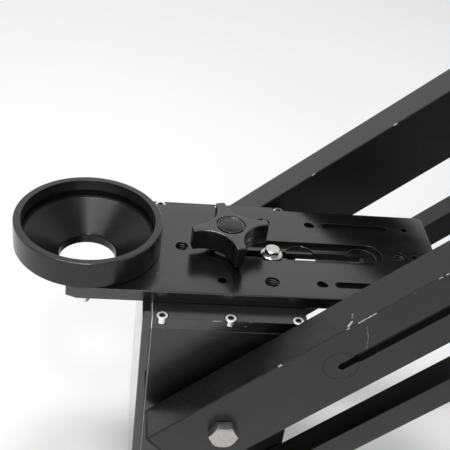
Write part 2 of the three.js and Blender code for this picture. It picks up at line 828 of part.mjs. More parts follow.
// Fulcrum, from the mounting flange up
function mountFlange() {
  const bores = [];
  for (let quarter = 0; quarter < 4; quarter += 1) {
    const angle = (quarter + 0.5) * Math.PI / 2;
    const bore = cylinderZ(flangeHoleRadius, -overrun, flangeThickness + overrun, screwSides);
    bores.push(bore.translate(flangeBoltCircle * Math.cos(angle), flangeBoltCircle * Math.sin(angle), 0));
  }
  const profile = [
    [0, 0], [flangeRadius - plateEdge, 0], [flangeRadius, plateEdge],
    [flangeRadius, flangeThickness - plateEdge], [flangeRadius - plateEdge, flangeThickness],
    [0, flangeThickness],
  ];
  return cut(revolve(profile), bores);
}

add(crane, 'mount_flange', mountFlange(), anodised);

function panHousing() {
  const floor = flangeThickness + housingFloor;
  const bore = outside(spindleRadius + fit, boreSides);
  const profile = [
    [0, flangeThickness], [housingRadius, flangeThickness], [housingRadius, housingTop - plateEdge],
    [housingRadius - plateEdge, housingTop], [0, housingTop],
  ];
  const studRadius = outside(panStudRadius + fit, screwSides);
  const studBore = cylinderX(studRadius, spindleRadius, housingRadius + overrun, screwSides);
  return cut(revolve(profile), [
    cylinderZ(bore, floor, housingTop + overrun, boreSides),
    studBore.translate(0, 0, flangeThickness + housingHeight / 2),
  ]);
}

add(crane, 'pan_housing', panHousing(), anodised);

function panBearing() {
  const inner = outside(spindleRadius + fit, boreSides);
  const low = housingTop + fit;
  const high = low + bearingHeight;
  const profile = [
    [inner, low], [bearingRadius, low], [bearingRadius, high], [inner, high],
  ];
  return revolve(profile);
}

add(crane, 'pan_bearing', panBearing(), stainless);
const spindle = cylinderZ(spindleRadius, flangeThickness + housingFloor + fit, platformBottom, boreSides);
add(crane, 'pan_spindle', spindle, stainless);

function panPlatform() {
  const xs = [-platformHalfLength, platformHalfLength];
  const outline = roundedRectangle(...xs, -bracketHalfWidth, bracketHalfWidth, platformCorner);
  return plate(outline, platformBottom, platformTop, plateEdge);
}

add(crane, 'pan_platform', panPlatform(), anodised);

// Yoke plate: a foot on the platform that narrows to a round head about the tilt axle
function yokePlate(side) {
  const ys = sideSpan(side, bracketHalfWidth - yokePlateThickness, bracketHalfWidth);
  const rise = tiltHeight - platformTop;
  const lean = Math.atan2(yokeFootHalf, rise);
  const tangent = Math.acos(yokeHeadRadius / Math.hypot(yokeFootHalf, rise)) - (Math.PI / 2 - lean);
  const outline = new THREE.Shape();
  outline.moveTo(-yokeFootHalf, platformTop);
  outline.lineTo(yokeFootHalf, platformTop);
  outline.absarc(0, tiltHeight, yokeHeadRadius, tangent, Math.PI - tangent);
  const through = [ys[0] - overrun, ys[1] + overrun];
  return cut(standingPlate(outline, ...ys, plateEdge), [
    boreY(tiltAxleRadius, ...through, 0, tiltHeight),
    boreY(rodAxleRadius, ...through, 0, rodPivotHeight),
  ]);
}

for (const [sideName, side] of sides) {
  add(crane, `yoke_plate_${sideName}`, yokePlate(side), anodised);
}

function yokeBrace() {
  const half = bracketHalfWidth - yokePlateThickness;
  const outline = rectangle(-half, half, platformTop, platformTop + braceHeight);
  const rear = yokeFootHalf - braceSetback;
  return facingPlate(outline, rear - braceThickness, rear, plateEdge);
}

add(crane, 'yoke_brace', yokeBrace(), anodised);

// Tilt axle: hexagonal head on the right, and on the left a plain end that carries the brake knob
function tiltAxle() {
  const headYs = [beamOuter + fit, beamOuter + fit + tiltHexHeight];
  const tip = -beamOuter - fit - tiltKnobHubDrop - tiltKnobHeight + knobRoof + fit + axleStub;
  const shaft = cylinderY(tiltAxleRadius, tip, headYs[0] + fit, boreSides);
  return join([shaft, hexY(tiltHexRadius, ...headYs)]).translate(0, 0, tiltHeight);
}

add(crane, 'tilt_axle', tiltAxle(), stainless);
for (const [sideName, side] of sides) {
  const spacer = ring(tiltSpacerRadius, tiltAxleRadius, sideSpan(side, bracketHalfWidth, beamInner - fit));
  add(crane, `tilt_spacer_${sideName}`, spacer.translate(0, 0, tiltHeight), anodised);
}

add(crane, 'yoke_rod_axle', pivotAxle(...rodAxleSizes, 0, rodPivotHeight), stainless);
add(crane, 'yoke_rod_nut', pivotNut(...rodAxleSizes, 0, rodPivotHeight), stainless);

// Tilt brake knob on the left end of the tilt axle
function tiltKnob() {
  const depth = tiltKnobHubDrop + tiltKnobHeight - knobRoof;
  const grip = starGrip({
    reach: tiltKnobReach, tipHalf: tiltKnobTipHalf, waist: tiltKnobWaist, height: tiltKnobHeight,
    hubRadius: tiltKnobHubRadius, hubDrop: tiltKnobHubDrop, bore: tiltAxleRadius, blind: depth,
  });
  return grip.rotateX(Math.PI / 2).translate(0, -beamOuter - fit, tiltHeight);
}

add(crane, 'tilt_brake_knob', tiltKnob(), blackPlastic);

// Pan brake knob: its stud runs through the housing to just short of the spindle
function panKnob() {
  const grip = starGrip({
    reach: panKnobReach, tipHalf: panKnobTipHalf, waist: panKnobWaist, height: panKnobHeight,
    hubRadius: panKnobHubRadius, hubDrop: panKnobHubDrop, bore: panStudRadius, blind: panKnobHubDrop,
  });
  const studLength = housingRadius - spindleRadius;
  const stud = cylinderZ(panStudRadius, -studLength, panKnobHubDrop + fit, screwSides);
  const knob = join([grip, stud]).rotateY(Math.PI / 2);
  return knob.translate(housingRadius + fit, 0, flangeThickness + housingHeight / 2);
}

add(crane, 'pan_brake_knob', panKnob(), blackPlastic);

export default crane;
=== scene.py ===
"""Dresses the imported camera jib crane: finishes on its flat plates and beams, and finer meshes for every
round, lobed, slotted or threaded piece. Sizes are in millimetres in each piece's own frame."""
import json
from math import acos, asin, atan, atan2, copysign, cos, hypot, pi, radians, sin, sqrt

import bmesh
import bpy
from mathutils import Matrix, Vector


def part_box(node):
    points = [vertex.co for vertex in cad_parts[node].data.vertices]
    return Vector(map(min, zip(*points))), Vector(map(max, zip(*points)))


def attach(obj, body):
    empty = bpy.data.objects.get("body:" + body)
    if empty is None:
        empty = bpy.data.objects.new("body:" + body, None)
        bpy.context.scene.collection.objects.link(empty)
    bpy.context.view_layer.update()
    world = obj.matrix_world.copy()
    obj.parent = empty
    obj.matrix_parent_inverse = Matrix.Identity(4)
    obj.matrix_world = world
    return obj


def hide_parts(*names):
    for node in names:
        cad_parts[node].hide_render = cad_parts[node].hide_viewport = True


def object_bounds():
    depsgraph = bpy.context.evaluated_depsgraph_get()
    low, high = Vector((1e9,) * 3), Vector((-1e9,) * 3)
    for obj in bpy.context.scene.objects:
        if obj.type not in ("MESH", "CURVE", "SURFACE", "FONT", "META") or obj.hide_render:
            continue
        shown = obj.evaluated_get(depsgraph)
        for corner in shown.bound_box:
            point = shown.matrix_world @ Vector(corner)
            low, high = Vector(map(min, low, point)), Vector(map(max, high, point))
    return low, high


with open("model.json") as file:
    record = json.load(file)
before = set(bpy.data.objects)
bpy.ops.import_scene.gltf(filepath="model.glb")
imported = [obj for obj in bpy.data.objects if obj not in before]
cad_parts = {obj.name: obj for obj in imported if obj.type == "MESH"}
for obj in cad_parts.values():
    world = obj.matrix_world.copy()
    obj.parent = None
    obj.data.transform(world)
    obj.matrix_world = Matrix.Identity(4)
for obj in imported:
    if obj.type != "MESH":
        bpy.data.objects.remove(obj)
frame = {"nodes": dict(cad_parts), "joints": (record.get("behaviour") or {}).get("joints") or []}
cad_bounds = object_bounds()
nodes = frame["nodes"]
joints = {joint["name"]: joint for joint in frame["joints"]}

MM = 0.001
FIT = 0.3
PITCH = radians(42)
SIDES = (("left", -1), ("right", 1))

# Turns that lay the Z axis along another one
TO_Y = Matrix.Rotation(-pi / 2, 4, "X")
TO_MINUS_Y = Matrix.Rotation(pi / 2, 4, "X")
TO_X = Matrix.Rotation(pi / 2, 4, "Y")
UPSIDE_DOWN = Matrix.Rotation(pi, 4, "X")
# Tips the X axis along the boom
PITCHED = Matrix.Rotation(-PITCH, 4, "Y")
# Stands an outline drawn in x and y up in x and z, its thickness along y
STAND = Matrix(((1, 0, 0, 0), (0, 0, 1, 0), (0, 1, 0, 0), (0, 0, 0, 1)))


def frame_at(place, turn=Matrix.Identity(4)):
    """A frame for millimetres at this place, which is in metres."""
    return Matrix.Translation(place) @ turn @ Matrix.Scale(MM, 4)


def on_centre_line(place):
    return Vector((place[0], 0, place[2]))


class Span:
    """The box of a CAD node in millimetres, in one of the frames."""

    def __init__(self, name, matrix):
        self.low, self.high = (matrix.inverted() @ Vector(corner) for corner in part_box(name))
        self.middle = (self.low + self.high) / 2
        self.size = self.high - self.low


bowl_low, bowl_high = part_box("bowl")
plate_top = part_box("slide_plate")[1].z
head_origin = Vector(((bowl_low.x + bowl_high.x) / 2, 0, plate_top))
tilt_pivot = on_centre_line(joints["boom_tilt"]["pos_m"])
rod_pivot = on_centre_line(joints["rod_left_pivot"]["pos_m"])
head_pivot = on_centre_line(joints["head_level"]["pos_m"])
head_rod_pivot = head_pivot + rod_pivot - tilt_pivot

# Frames of the crane's parts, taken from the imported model. Each turns millimetres into metres.
HEAD = frame_at(head_origin)
BASE = frame_at((0, 0, 0))
BOOM = frame_at(tilt_pivot, PITCHED)
RODS = frame_at(rod_pivot, PITCHED)
HEAD_PIVOT = frame_at(head_pivot, TO_Y)
HEAD_ROD = frame_at(head_rod_pivot, TO_Y)
TILT = frame_at(tilt_pivot, TO_Y)
YOKE_ROD = frame_at(rod_pivot, TO_Y)

# Driving sizes. The solids' source has them too, a few with slightly other values
bracket_half = Span("bracket_top_plate", HEAD).high.y
beam, rod = Span("beam_right", BASE), Span("control_rod_right", BASE)
beam_inner, beam_outer, rod_inner, rod_outer = beam.low.y, beam.high.y, rod.low.y, rod.high.y
front_reach = (tilt_pivot - head_pivot).length / MM
slot_front, slot_rear, slot_width = 102.0, 213.0, 7.9
recess_front, recess_rear, recess_width, recess_depth = 106.0, 216.6, 25.2, 3.8
pocket_places, pocket_radius, pocket_depth = (164.5, 213.0), 12.2, 5.0
side_lines, pin_front_lines = {-1: 38.3, 1: 36.5}, {-1: 38.8, 1: 32.0}
side_slot_front, side_slot_rear, side_slot_width = 189.0, 237.0, 6.6
main_thread_radius, main_thread_places = 4.9, (71.6, 243.7)
side_thread_radius, side_thread_place = 5.5, 138.0
pin_radius, pin_front_place, pin_side_place = 3.5, 100.4, 175.4
stray_radius, stray_right, stray_near = 2.4, 2.3, 0.9
rear_pin_radius, rear_pin_place, centre_pin_place = 2.5, 254.8, 256.1
bowl_notch, bowl_screw_circle, bowl_screw_turn = 38.3, 49.0, radians(35)
stud_radius, stud_hole_radius = 3.9, 4.25
screw_shank_radius, screw_hole_radius = 2.5, 2.8


class Nodes:
    """A node tree round one shader, with short calls for the nodes used here. Vectors are in metres."""

    def __init__(self, owner, shader, output):
        self.owner = owner
        owner.use_nodes = True
        self.tree = owner.node_tree
        self.tree.nodes.clear()
        self.shader = self.add(shader)
        self.add(output, {0: self.shader.outputs[0]})
        self.coords = self.add("TexCoord").outputs

    def add(self, kind, sockets=None, **settings):
        """A node with these settings, and these values or links in its sockets."""
        node = self.tree.nodes.new("ShaderNode" + kind)
        for key, value in settings.items():
            setattr(node, key, value)
        for key, value in (sockets or {}).items():
            self.wire(value, node.inputs[key])
        return node

    def wire(self, value, socket):
        if isinstance(value, bpy.types.NodeSocket):
            self.tree.links.new(value, socket)
        else:
            socket.default_value = (*value, 1) if socket.type == "RGBA" else value

    def set(self, **values):
        """Gives the shader these values or links. Returns the tree's material or world."""
        for key, value in values.items():
            self.wire(value, self.shader.inputs[key.replace("_", " ")])
        return self.owner

    def math(self, operation, total, *others, clamp=False):
        """Joins the values one after another. A single value goes through one node."""
        for other in others or (0.0,):
            sockets = {0: total, 1: other}
            total = self.add("Math", sockets, operation=operation, use_clamp=clamp).outputs[0]
        return total

    def vector(self, operation, first, second, output=0):
        sockets = {0: first, "Scale" if operation == "SCALE" else 1: second}
        return self.add("VectorMath", sockets, operation=operation).outputs[output]

    def place(self, turn=(0, 0, 0), scale=(1, 1, 1), at=(0, 0, 0)):
        """Object coordinates, moved by -at, turned and scaled."""
        sockets = {0: self.vector("SUBTRACT", self.coords["Object"], at), "Rotation": turn, "Scale": scale}
        return self.add("Mapping", sockets, vector_type="POINT").outputs[0]

    def noise(self, vector, scale, detail=2.0, rough=0.6):
        sockets = {"Vector": vector, "Scale": scale, "Detail": detail, "Roughness": rough}
        return self.add("TexNoise", sockets).outputs["Fac"]

    def between(self, value, low, high, to_low=0.0, to_high=1.0):
        sockets = {"Value": value, "From Min": low, "From Max": high, "To Min": to_low, "To Max": to_high}
        return self.add("MapRange", sockets).outputs[0]

    def mix(self, factor, first, second):
        """A blend of two colours. The node's own colour sockets are inputs 6 and 7 and output 2."""
        sockets = {"Factor": factor, 6: first, 7: second}
        return self.add("Mix", sockets, data_type="RGBA").outputs[2]

    def bump(self, *layers):
        """A normal raised by one layer after another: its height, strength and distance."""
        sockets = {}
        for height, strength, distance in layers:
            sockets.update({"Height": height, "Strength": strength, "Distance": distance})
            sockets["Normal"] = self.add("Bump", sockets).outputs[0]
        return sockets["Normal"]

    def parts(self, vector):
        return list(self.add("SeparateXYZ", {0: vector}).outputs)

    def stroke(self, vector, start, end, width, strength=1.0):
        """Strength along the line from start to end, zero at half the width. Sizes in millimetres."""
        start, end = Vector(start) * MM, Vector(end) * MM
        along = end - start
        offset = self.vector("SUBTRACT", vector, start)
        share = self.vector("DOT_PRODUCT", offset, along / along.length_squared, output="Value")
        nearest = self.vector("SCALE", along, self.math("MULTIPLY", share, 1.0, clamp=True))
        gap = self.vector("DISTANCE", offset, nearest, output="Value")
        return self.between(gap, width * MM / 2, width * MM / 4, 0.0, strength)

    def strokes(self, vector, rows):
        return self.math("MAXIMUM", *(self.stroke(vector, *row) for row in rows))

    def ring(self, vector, centre, radius, width):
        """One on a circle round the centre, zero at half the width. Sizes in millimetres."""
        offset = self.vector("DISTANCE", vector, Vector(centre) * MM, output="Value")
        gap = self.math("ABSOLUTE", self.math("SUBTRACT", offset, radius * MM))
        return self.between(gap, width * MM / 2, width * MM / 4)


# Finishes
BARE = (0.82, 0.81, 0.79)


def grey(level, warm=0.0):
    return (level * (1 + warm), level, level * (1 - warm))


def surface(name):
    return Nodes(bpy.data.materials.new(name), "BsdfPrincipled", "OutputMaterial")


def dusted(n, here, colour, strength=0.5, share=0.95):
    """The colour with rare pale specks, some way apart, and the mask of the specks."""
    cells = n.add("TexVoronoi", {"Vector": here, "Scale": 170.0}, feature="F1").outputs
    tint = n.add("SeparateColor", {0: cells["Color"]}).outputs[0]
    near = n.math("LESS_THAN", cells["Distance"], 0.06)
    specks = n.math("MULTIPLY", near, n.math("GREATER_THAN", tint, share))
    return n.mix(n.math("MULTIPLY", specks, strength), colour, grey(0.3, 0.04)), specks


def anodised(name, turn=(0, 0, 0), at=head_origin, shade=0.005, rough=0.24, grain=0.5, index=1.8, marks=(),
             seams=(), rubbed=(), painted_shade_inside=0):
    """Black anodised aluminium: fine lengthwise grain, uneven sheen, dust, and bare metal where marked."""
    n = surface(name)
    here = n.place(turn, at=at)
    lines = n.noise(n.place(turn, (5, 300, 300), at), 1.0, 4.0, 0.7)
    speckle = n.noise(here, 2600.0)
    patches = n.noise(here, 19.0, 4.0, 0.62)
    smears = n.noise(n.place(turn, (8, 46, 46), at), 1.0, 4.0)
    colour = n.mix(n.between(patches, 0.35, 0.68), grey(shade * 0.75), grey(shade * 1.3, 0.02))
    colour = n.mix(n.between(smears, 0.58, 0.8, 0.0, 0.6), colour, grey(shade * 2.4, 0.02))
    colour, dust = dusted(n, here, colour)
    gloss = n.math("ADD", n.between(patches, 0.3, 0.7, rough + 0.05, rough - 0.04),
                   n.between(smears, 0.5, 0.8, 0.0, 0.08),
                   n.between(lines, 0.3, 0.7, -0.05 * grain, 0.07 * grain), n.math("MULTIPLY", dust, 0.3))
    metal = 0.0
    if painted_shade_inside:
        # the faces turned to the crane's middle are rougher than the outer ones
        # a metallic share over the near-black colour darkens them as well: painted shade between the beams
        # and rods
        middle = n.math("ABSOLUTE", n.parts(here)[1])
        inner = n.between(middle, (painted_shade_inside + 0.4) * MM, (painted_shade_inside + 0.1) * MM)
        gloss = n.math("ADD", gloss, n.math("MULTIPLY", inner, 0.3))
        metal = n.math("MULTIPLY", inner, 0.6)
    if rubbed:
        metal = n.math("MAXIMUM", metal, n.math("MULTIPLY", n.ring(here, *rubbed), 0.45))
    if marks:
        ragged = n.between(n.noise(here, 1500.0, 3.0, 0.7), 0.42, 0.52)
        chips = n.math("MULTIPLY", n.strokes(here, marks), ragged)
        colour = n.mix(chips, colour, BARE)
        metal = n.math("MAXIMUM", metal, chips)
    if seams:
        bright = n.strokes(here, seams)
        colour = n.mix(bright, colour, BARE)
        gloss = n.math("ADD", gloss, n.math("MULTIPLY", bright, 0.15))
        metal = n.math("MAXIMUM", metal, bright)
    normal = n.bump((lines, 0.08 * grain, 0.00006), (speckle, 0.10 * grain, 0.00003))
    return n.set(IOR=index, Base_Color=colour, Roughness=gloss, Metallic=metal, Normal=normal)


def turned_anodised(name, shade=0.005, rough=0.27, anisotropic=0.5, index=1.7, at=head_origin):
    """Black anodised aluminium turned on a lathe: fine rings about an upright axis and a streaked sheen."""
    n = surface(name)
    centred = n.place(at=at)
    x, y, z = n.parts(centred)
    radius = n.math("SQRT", n.math("ADD", n.math("MULTIPLY", x, x), n.math("MULTIPLY", y, y)))
    rings = n.add("CombineXYZ", {0: radius, 2: z}).outputs[0]
    grooves = n.noise(rings, 2400.0)
    bands = n.noise(rings, 320.0, 3.0)
    patches = n.noise(centred, 30.0, 4.0)
    smears = n.noise(centred, 75.0, 4.0, 0.65)
    colour = n.mix(n.between(patches, 0.35, 0.68), grey(shade * 0.8), grey(shade * 1.5))
    colour = n.mix(n.between(bands, 0.5, 0.78, 0.0, 0.6), colour, grey(shade * 2.2))
    colour = dusted(n, centred, colour, 0.4)[0]
    gloss = n.math("ADD", n.between(bands, 0.3, 0.7, rough - 0.03, rough + 0.04),
                   n.between(smears, 0.45, 0.75, 0.0, 0.015))
    tangent = n.add("Tangent", direction_type="RADIAL", axis="Z").outputs[0]
    return n.set(IOR=index, Base_Color=colour, Roughness=gloss, Normal=n.bump((grooves, 0.12, 0.00004)),
                 Tangent=tangent, Anisotropic=anisotropic, Anisotropic_Rotation=0.25)


def moulded(name, shade=0.005, rough=0.2, grain=0.5, index=1.55):
    """Moulded thermoset: deep black, glossy, with a faint orange peel and rubbed lighter patches."""
    n = surface(name)
    here = n.place()
    peel = n.noise(here, 420.0, 2.0, 0.5)
    fine = n.noise(here, 3200.0)
    patches = n.noise(here, 90.0, 4.0, 0.65)
    colour = n.mix(n.between(patches, 0.4, 0.7), grey(shade), grey(shade * 2.0, 0.02))
    colour = dusted(n, here, colour, share=0.93)[0]
    gloss = n.math("ADD", n.between(patches, 0.35, 0.7, rough, rough + 0.12),
                   n.between(fine, 0.3, 0.7, -0.03, 0.03))
    normal = n.bump((peel, 0.10 * grain, 0.0002), (fine, 0.12 * grain, 0.00005))
    return n.set(IOR=index, Base_Color=colour, Roughness=gloss, Normal=normal)


def steel(name, level=0.63, rough=0.2):
    """Bright stainless steel: turning marks, handling haze and darker stains."""
    n = surface(name)
    here = n.place()
    marks = n.noise(n.place(scale=(120, 120, 2600)), 1.0, 3.0)
    haze = n.noise(here, 180.0, 3.0)
    stains = n.noise(here, 520.0, 3.0)
    colour = n.mix(n.between(stains, 0.55, 0.75, 0.0, 0.7), grey(level, 0.02), grey(level * 0.5, 0.04))
    gloss = n.math("ADD", n.between(haze, 0.35, 0.7, rough - 0.05, rough + 0.12),
                   n.between(marks, 0.3, 0.7, -0.02, 0.04))
    return n.set(Base_Color=colour, Roughness=gloss, Normal=n.bump((marks, 0.05, 0.00006)), Metallic=1.0)


def bearing_bronze():
    n = surface("bronze")
    haze = n.noise(n.place(), 260.0, 3.0)
    colour = n.mix(n.between(haze, 0.35, 0.7), (0.5, 0.31, 0.13), (0.66, 0.46, 0.22))
    return n.set(Base_Color=colour, Roughness=n.between(haze, 0.3, 0.7, 0.28, 0.42), Metallic=1.0,
                 Normal=n.bump((haze, 0.1, 0.0001)))


def marks_at(y, *rows):
    """Marks on a face at this y: x and z of both ends, the width, and how bare the metal is."""
    return [((x0, y, z0), (x1, y, z1), width, bare) for x0, z0, x1, z1, width, bare in rows]


# Bare metal where the beams' anodising is worn, in the boom's frame
top_edge = 28.5
worn_edge = top_edge - 0.4
beam_marks = [
    ((-974.3, -106.6, top_edge), (-971.5, -104.4, top_edge), 2.2, 1.0),
    ((-970.2, -101.0, top_edge), (-969.4, -98.0, top_edge), 1.4, 0.35),
    *marks_at(beam_inner, (-973.5, top_edge, -971.5, top_edge, 2.0, 0.9),
              (-894.5, top_edge, -892.5, top_edge, 2.2, 0.9)),
    *marks_at(-beam_outer, (-976.4, worn_edge, -974.2, worn_edge, 1.1, 0.8),
              (-967, worn_edge, -953, worn_edge, 1.1, 1.0), (-905, worn_edge, -902.5, worn_edge, 1.1, 0.8),
              (-899.5, worn_edge, -898, worn_edge, 1.1, 1.0), (-1010, top_edge, -985, top_edge, 0.5, 0.5),
              (-1031.8, top_edge, -1029.8, top_edge, 2.2, 1.0), (-964.4, 21.6, -968, 13, 0.7, 0.25),
              (-968, 13, -974.9, 3.8, 0.7, 0.2)),
]
# Chips and scratches on the bracket's near side, and the seams of its front plate, in the head's frame
plate_marks = marks_at(
    -bracket_half, (93, -10.6, 98.5, -10.4, 0.9, 0.8), (119, -10.6, 120.5, -10.6, 0.9, 0.5),
    (116.5, -14.2, 117.3, -14.6, 1.0, 0.6), (63, -19.9, 70, -19.9, 0.5, 0.2), (88, -27, 98, -27.3, 0.6, 0.1))
front_plate, slide = Span("bracket_front_plate", HEAD), Span("slide_plate", HEAD)
seam_x, seam_top, seam_foot = front_plate.high.x + 0.2, front_plate.high.z, front_plate.low.z
seams = []
for seam_y, seam_end in ((-bracket_half, slide.low.y + 2), (bracket_half, slide.high.y - 2)):
    seams.append(((seam_x, seam_y, seam_top), (seam_x, seam_y, seam_foot), 1.0))
    seams.append(((seam_x, seam_y, seam_top), (seam_x, seam_end, seam_top), 1.2))
boom_turn = (0, PITCH, 0)
rubbed_ring = ((-997.4, -beam_outer, 1.1), 12.5, 1.0)
plates_finish = anodised("plate_anodised", rough=0.22, marks=plate_marks, seams=seams)
side_finish = anodised("side_anodised", rough=0.3, index=1.7, marks=plate_marks, seams=seams)
front_finish = anodised("front_anodised", rough=0.05, grain=0.1, seams=seams)
slide_finish = anodised("slide_anodised", shade=0.0035, rough=0.2, grain=0.6)
recess_finish = anodised("recess_anodised", shade=0.004, rough=0.28, grain=1.2, index=1.5)
# Walls of the slot and holes, and the threads in them, get a darker, less reflective copy: painted shade.
slot_wall_finish = anodised("slot_anodised", shade=0.003, rough=0.45, grain=1.2, index=1.25)
# The near beam has a lower index than the far beam, so it reflects less: painted shade on the near beam.
near_beam_finish = anodised("near_beam_anodised", boom_turn, tilt_pivot, rough=0.27, index=1.5,
                            marks=beam_marks, rubbed=rubbed_ring, painted_shade_inside=beam_inner)
far_beam_finish = anodised("far_beam_anodised", boom_turn, tilt_pivot, rough=0.27, index=1.6,
                           marks=beam_marks, painted_shade_inside=beam_inner)
rods_finish = anodised("rod_anodised", boom_turn, rod_pivot, rough=0.32, index=1.5, painted_shade_inside=rod_inner)
bar_finish = anodised("bar_anodised", at=(0, 0, 0), rough=0.3)
bowl_finish = turned_anodised("bowl_turned", rough=0.22, index=1.61)
# The cone, groove, outer wall and inner walls get dimmer copies of the rim's turned finish: painted shade.
bowl_cone_finish = turned_anodised("bowl_cone_turned", 0.003, 0.28, 0.7, 1.38)
bowl_wall_finish = turned_anodised("bowl_wall_turned", rough=0.22, index=1.49)
bowl_inside_finish = turned_anodised("bowl_inside_turned", 0.005, 0.3, 0.85, 1.5)
bowl_groove_finish = turned_anodised("bowl_groove_turned", 0.003, 0.4, index=1.2)
pan_finish = turned_anodised("pan_turned", at=(0, 0, 0))
knob_finish = moulded("knob_moulded", 0.003, 0.18, index=1.9)
# The knob's upright sides get a lower-index copy of its moulding, darker than the top: painted shade.
knob_side_finish = moulded("knob_side_moulded", 0.003, 0.24, index=1.42)
cap_finish = moulded("cap_moulded", 0.006, 0.05, 0.2, index=1.5)
cap_rim_finish = steel("cap_rim_steel", 0.13, 0.1)
brake_finish = moulded("brake_moulded", 0.008, 0.34, 1.0)
endcap_finish = moulded("endcap_moulded", 0.01, 0.42, 1.0)
steel_finish = steel("bright_steel", rough=0.17)
bar_steel = steel("bar_steel", rough=0.24)
dull_steel = steel("dull_steel", 0.45, 0.3)
# A much darker copy of the screws' steel for inside their hex sockets: painted shade.
socket_finish = steel("socket_steel", 0.16, 0.3)
screw_finish = steel("screw_steel", 0.9, 0.28)
# Bright metal for the pockets' rounded edges and the threads' crests: painted highlight.
edge_highlight_finish = steel("edge_highlight_aluminium", 0.3, 0.3)
bronze_finish = bearing_bronze()


# Mesh helpers, all in millimetres
def arc(x, y, radius, start, end, steps):
    """Points on a circle from one angle to another, in radians, both ends included."""
    angles = [start + (end - start) * k / steps for k in range(steps + 1)]
    return [(x + radius * cos(a), y + radius * sin(a)) for a in angles]


def circle(x, y, radius, count=48):
    return arc(x, y, radius, 0, 2 * pi, count)[:-1]


def slot(x0, x1, y, width, steps=20):
    """A round-ended slot whose end centres lie at x0 and x1."""
    radius, quarter = width / 2, pi / 2
    return arc(x1, y, radius, -quarter, quarter, steps) + arc(x0, y, radius, quarter, 3 * quarter, steps)


def soften(points, radius, steps=3, closed=True, share=0.45, corners=None):
    """The same polyline with all of its corners, or these ones, replaced by small curves."""
    result = []
    count = len(points)
    for i, point in enumerate(points):
        here = Vector(point)
        if not closed and i in (0, count - 1) or corners and i not in corners:
            result.append(tuple(here))
            continue
        back, ahead = Vector(points[i - 1]) - here, Vector(points[(i + 1) % count]) - here
        start = here + back.normalized() * min(radius, share * back.length)
        end = here + ahead.normalized() * min(radius, share * ahead.length)
        for k in range(steps + 1):
            t = k / steps
            result.append(tuple(start * (1 - t) ** 2 + here * 2 * t * (1 - t) + end * t ** 2))
    return result


def shift(points, inward):
    """A counterclockwise outline with every side moved inward."""
    moved = []
    count = len(points)
    for i in range(count):
        before, here, after = (Vector(points[(i + k) % count]) for k in (-1, 0, 1))
        first, second = (here - before).normalized(), (after - here).normalized()
        normal = Vector((-(first.y + second.y), first.x + second.x))
        if normal.length < 1e-9:
            normal = Vector((-first.y, first.x))
        normal.normalize()
        spread = max(0.35, normal.dot(Vector((-first.y, first.x))))
        moved.append(tuple(here + normal * inward / spread))
    return moved


def loop(mesh, points, z):
    return [mesh.verts.new((x, y, z)) for x, y in points]


def bridge(mesh, rings):
    """Quads between each ring of vertices and the next."""
    for upper, lower in zip(rings, rings[1:]):
        for i in range(len(upper)):
            j = (i + 1) % len(upper)
            mesh.faces.new((upper[i], upper[j], lower[j], lower[i]))


def fan(mesh, ring, tip):
    """Triangles from a ring of vertices to a single one."""
    for first, second in zip(ring, ring[1:] + ring[:1]):
        mesh.faces.new((first, second, tip))


def close(mesh, ring, z):
    """A fan from a ring of vertices to a point on the axis."""
    fan(mesh, ring, mesh.verts.new((0, 0, z)))


def fill(mesh, loops):
    """Closes the flat area bounded by these loops of vertices."""
    pairs = [pair for ring in loops for pair in zip(ring, ring[1:] + ring[:1])]
    edges = [mesh.edges.get(pair) or mesh.edges.new(pair) for pair in pairs]
    bmesh.ops.triangle_fill(mesh, use_beauty=True, edges=edges, normal=(0, 0, 1))


def rounded_steps(z0, z1, low, high, steps=3):
    """Inward shifts and heights from the top face down to the bottom face, round each edge."""
    turns = [pi / 2 * k / steps for k in range(steps + 1)]
    top = [(high * (1 - sin(a)), z1 - high * (1 - cos(a))) for a in turns] if high else [(0, z1)]
    bottom = [(low * (1 - cos(a)), z0 + low * (1 - sin(a))) for a in turns] if low else [(0, z0)]
    return top + bottom


def slab(outline, holes, z0, z1, low=0.6, high=0.6, hole_edge=0.25, mesh=None):
    """A flat plate between two heights, with holes, its edges rounded."""
    mesh = mesh or bmesh.new()
    tops, bottoms = [], []
    for points, sign in [(outline, 1)] + [(hole, -1) for hole in holes]:
        edges = (low, high) if sign > 0 else (min(hole_edge, low), min(hole_edge, high))
        rings = [loop(mesh, shift(points, sign * inward) if inward else points, z)
                 for inward, z in rounded_steps(z0, z1, *edges)]
        bridge(mesh, rings)
        tops.append(rings[0])
        bottoms.append(rings[-1])
    fill(mesh, tops)
    fill(mesh, bottoms)
    return mesh


def lathe(profile, count=96, ripple=None):
    """A profile of (radius, height) turned about Z. One that starts or ends on the axis is closed there."""
    mesh = bmesh.new()
    angles = [2 * pi * i / count for i in range(count)]
    columns = []
    for radius, z in profile:
        if radius < 1e-6:
            columns.append([mesh.verts.new((0, 0, z))])
            continue
        radii = [radius + (ripple(radius, z, a) if ripple else 0) for a in angles]
        columns.append(loop(mesh, [(r * cos(a), r * sin(a)) for r, a in zip(radii, angles)], z))
    pairs = list(zip(columns, columns[1:]))
    if len(columns[0]) > 1 and len(columns[-1]) > 1:
        pairs.append((columns[-1], columns[0]))
    for first, second in pairs:
        if len(first) == 1:
            fan(mesh, second, first[0])
        elif len(second) == 1:
            fan(mesh, first, second[0])
        else:
            bridge(mesh, [first, second])
    return mesh


def turned(profile, radius, steps=3, count=96, ripple=None):
    """A lathe piece with its corners softened, apart from ends on the axis."""
    return lathe(soften(profile, radius, steps, closed=profile[0][0] > 0), count, ripple)


def paint(mesh, material_of):
    """Gives each face the material number that follows from its centre and its normal's height."""
    for face in mesh.faces:
        face.normal_update()
        face.material_index = material_of(face.calc_center_median(), abs(face.normal.z))
    return mesh


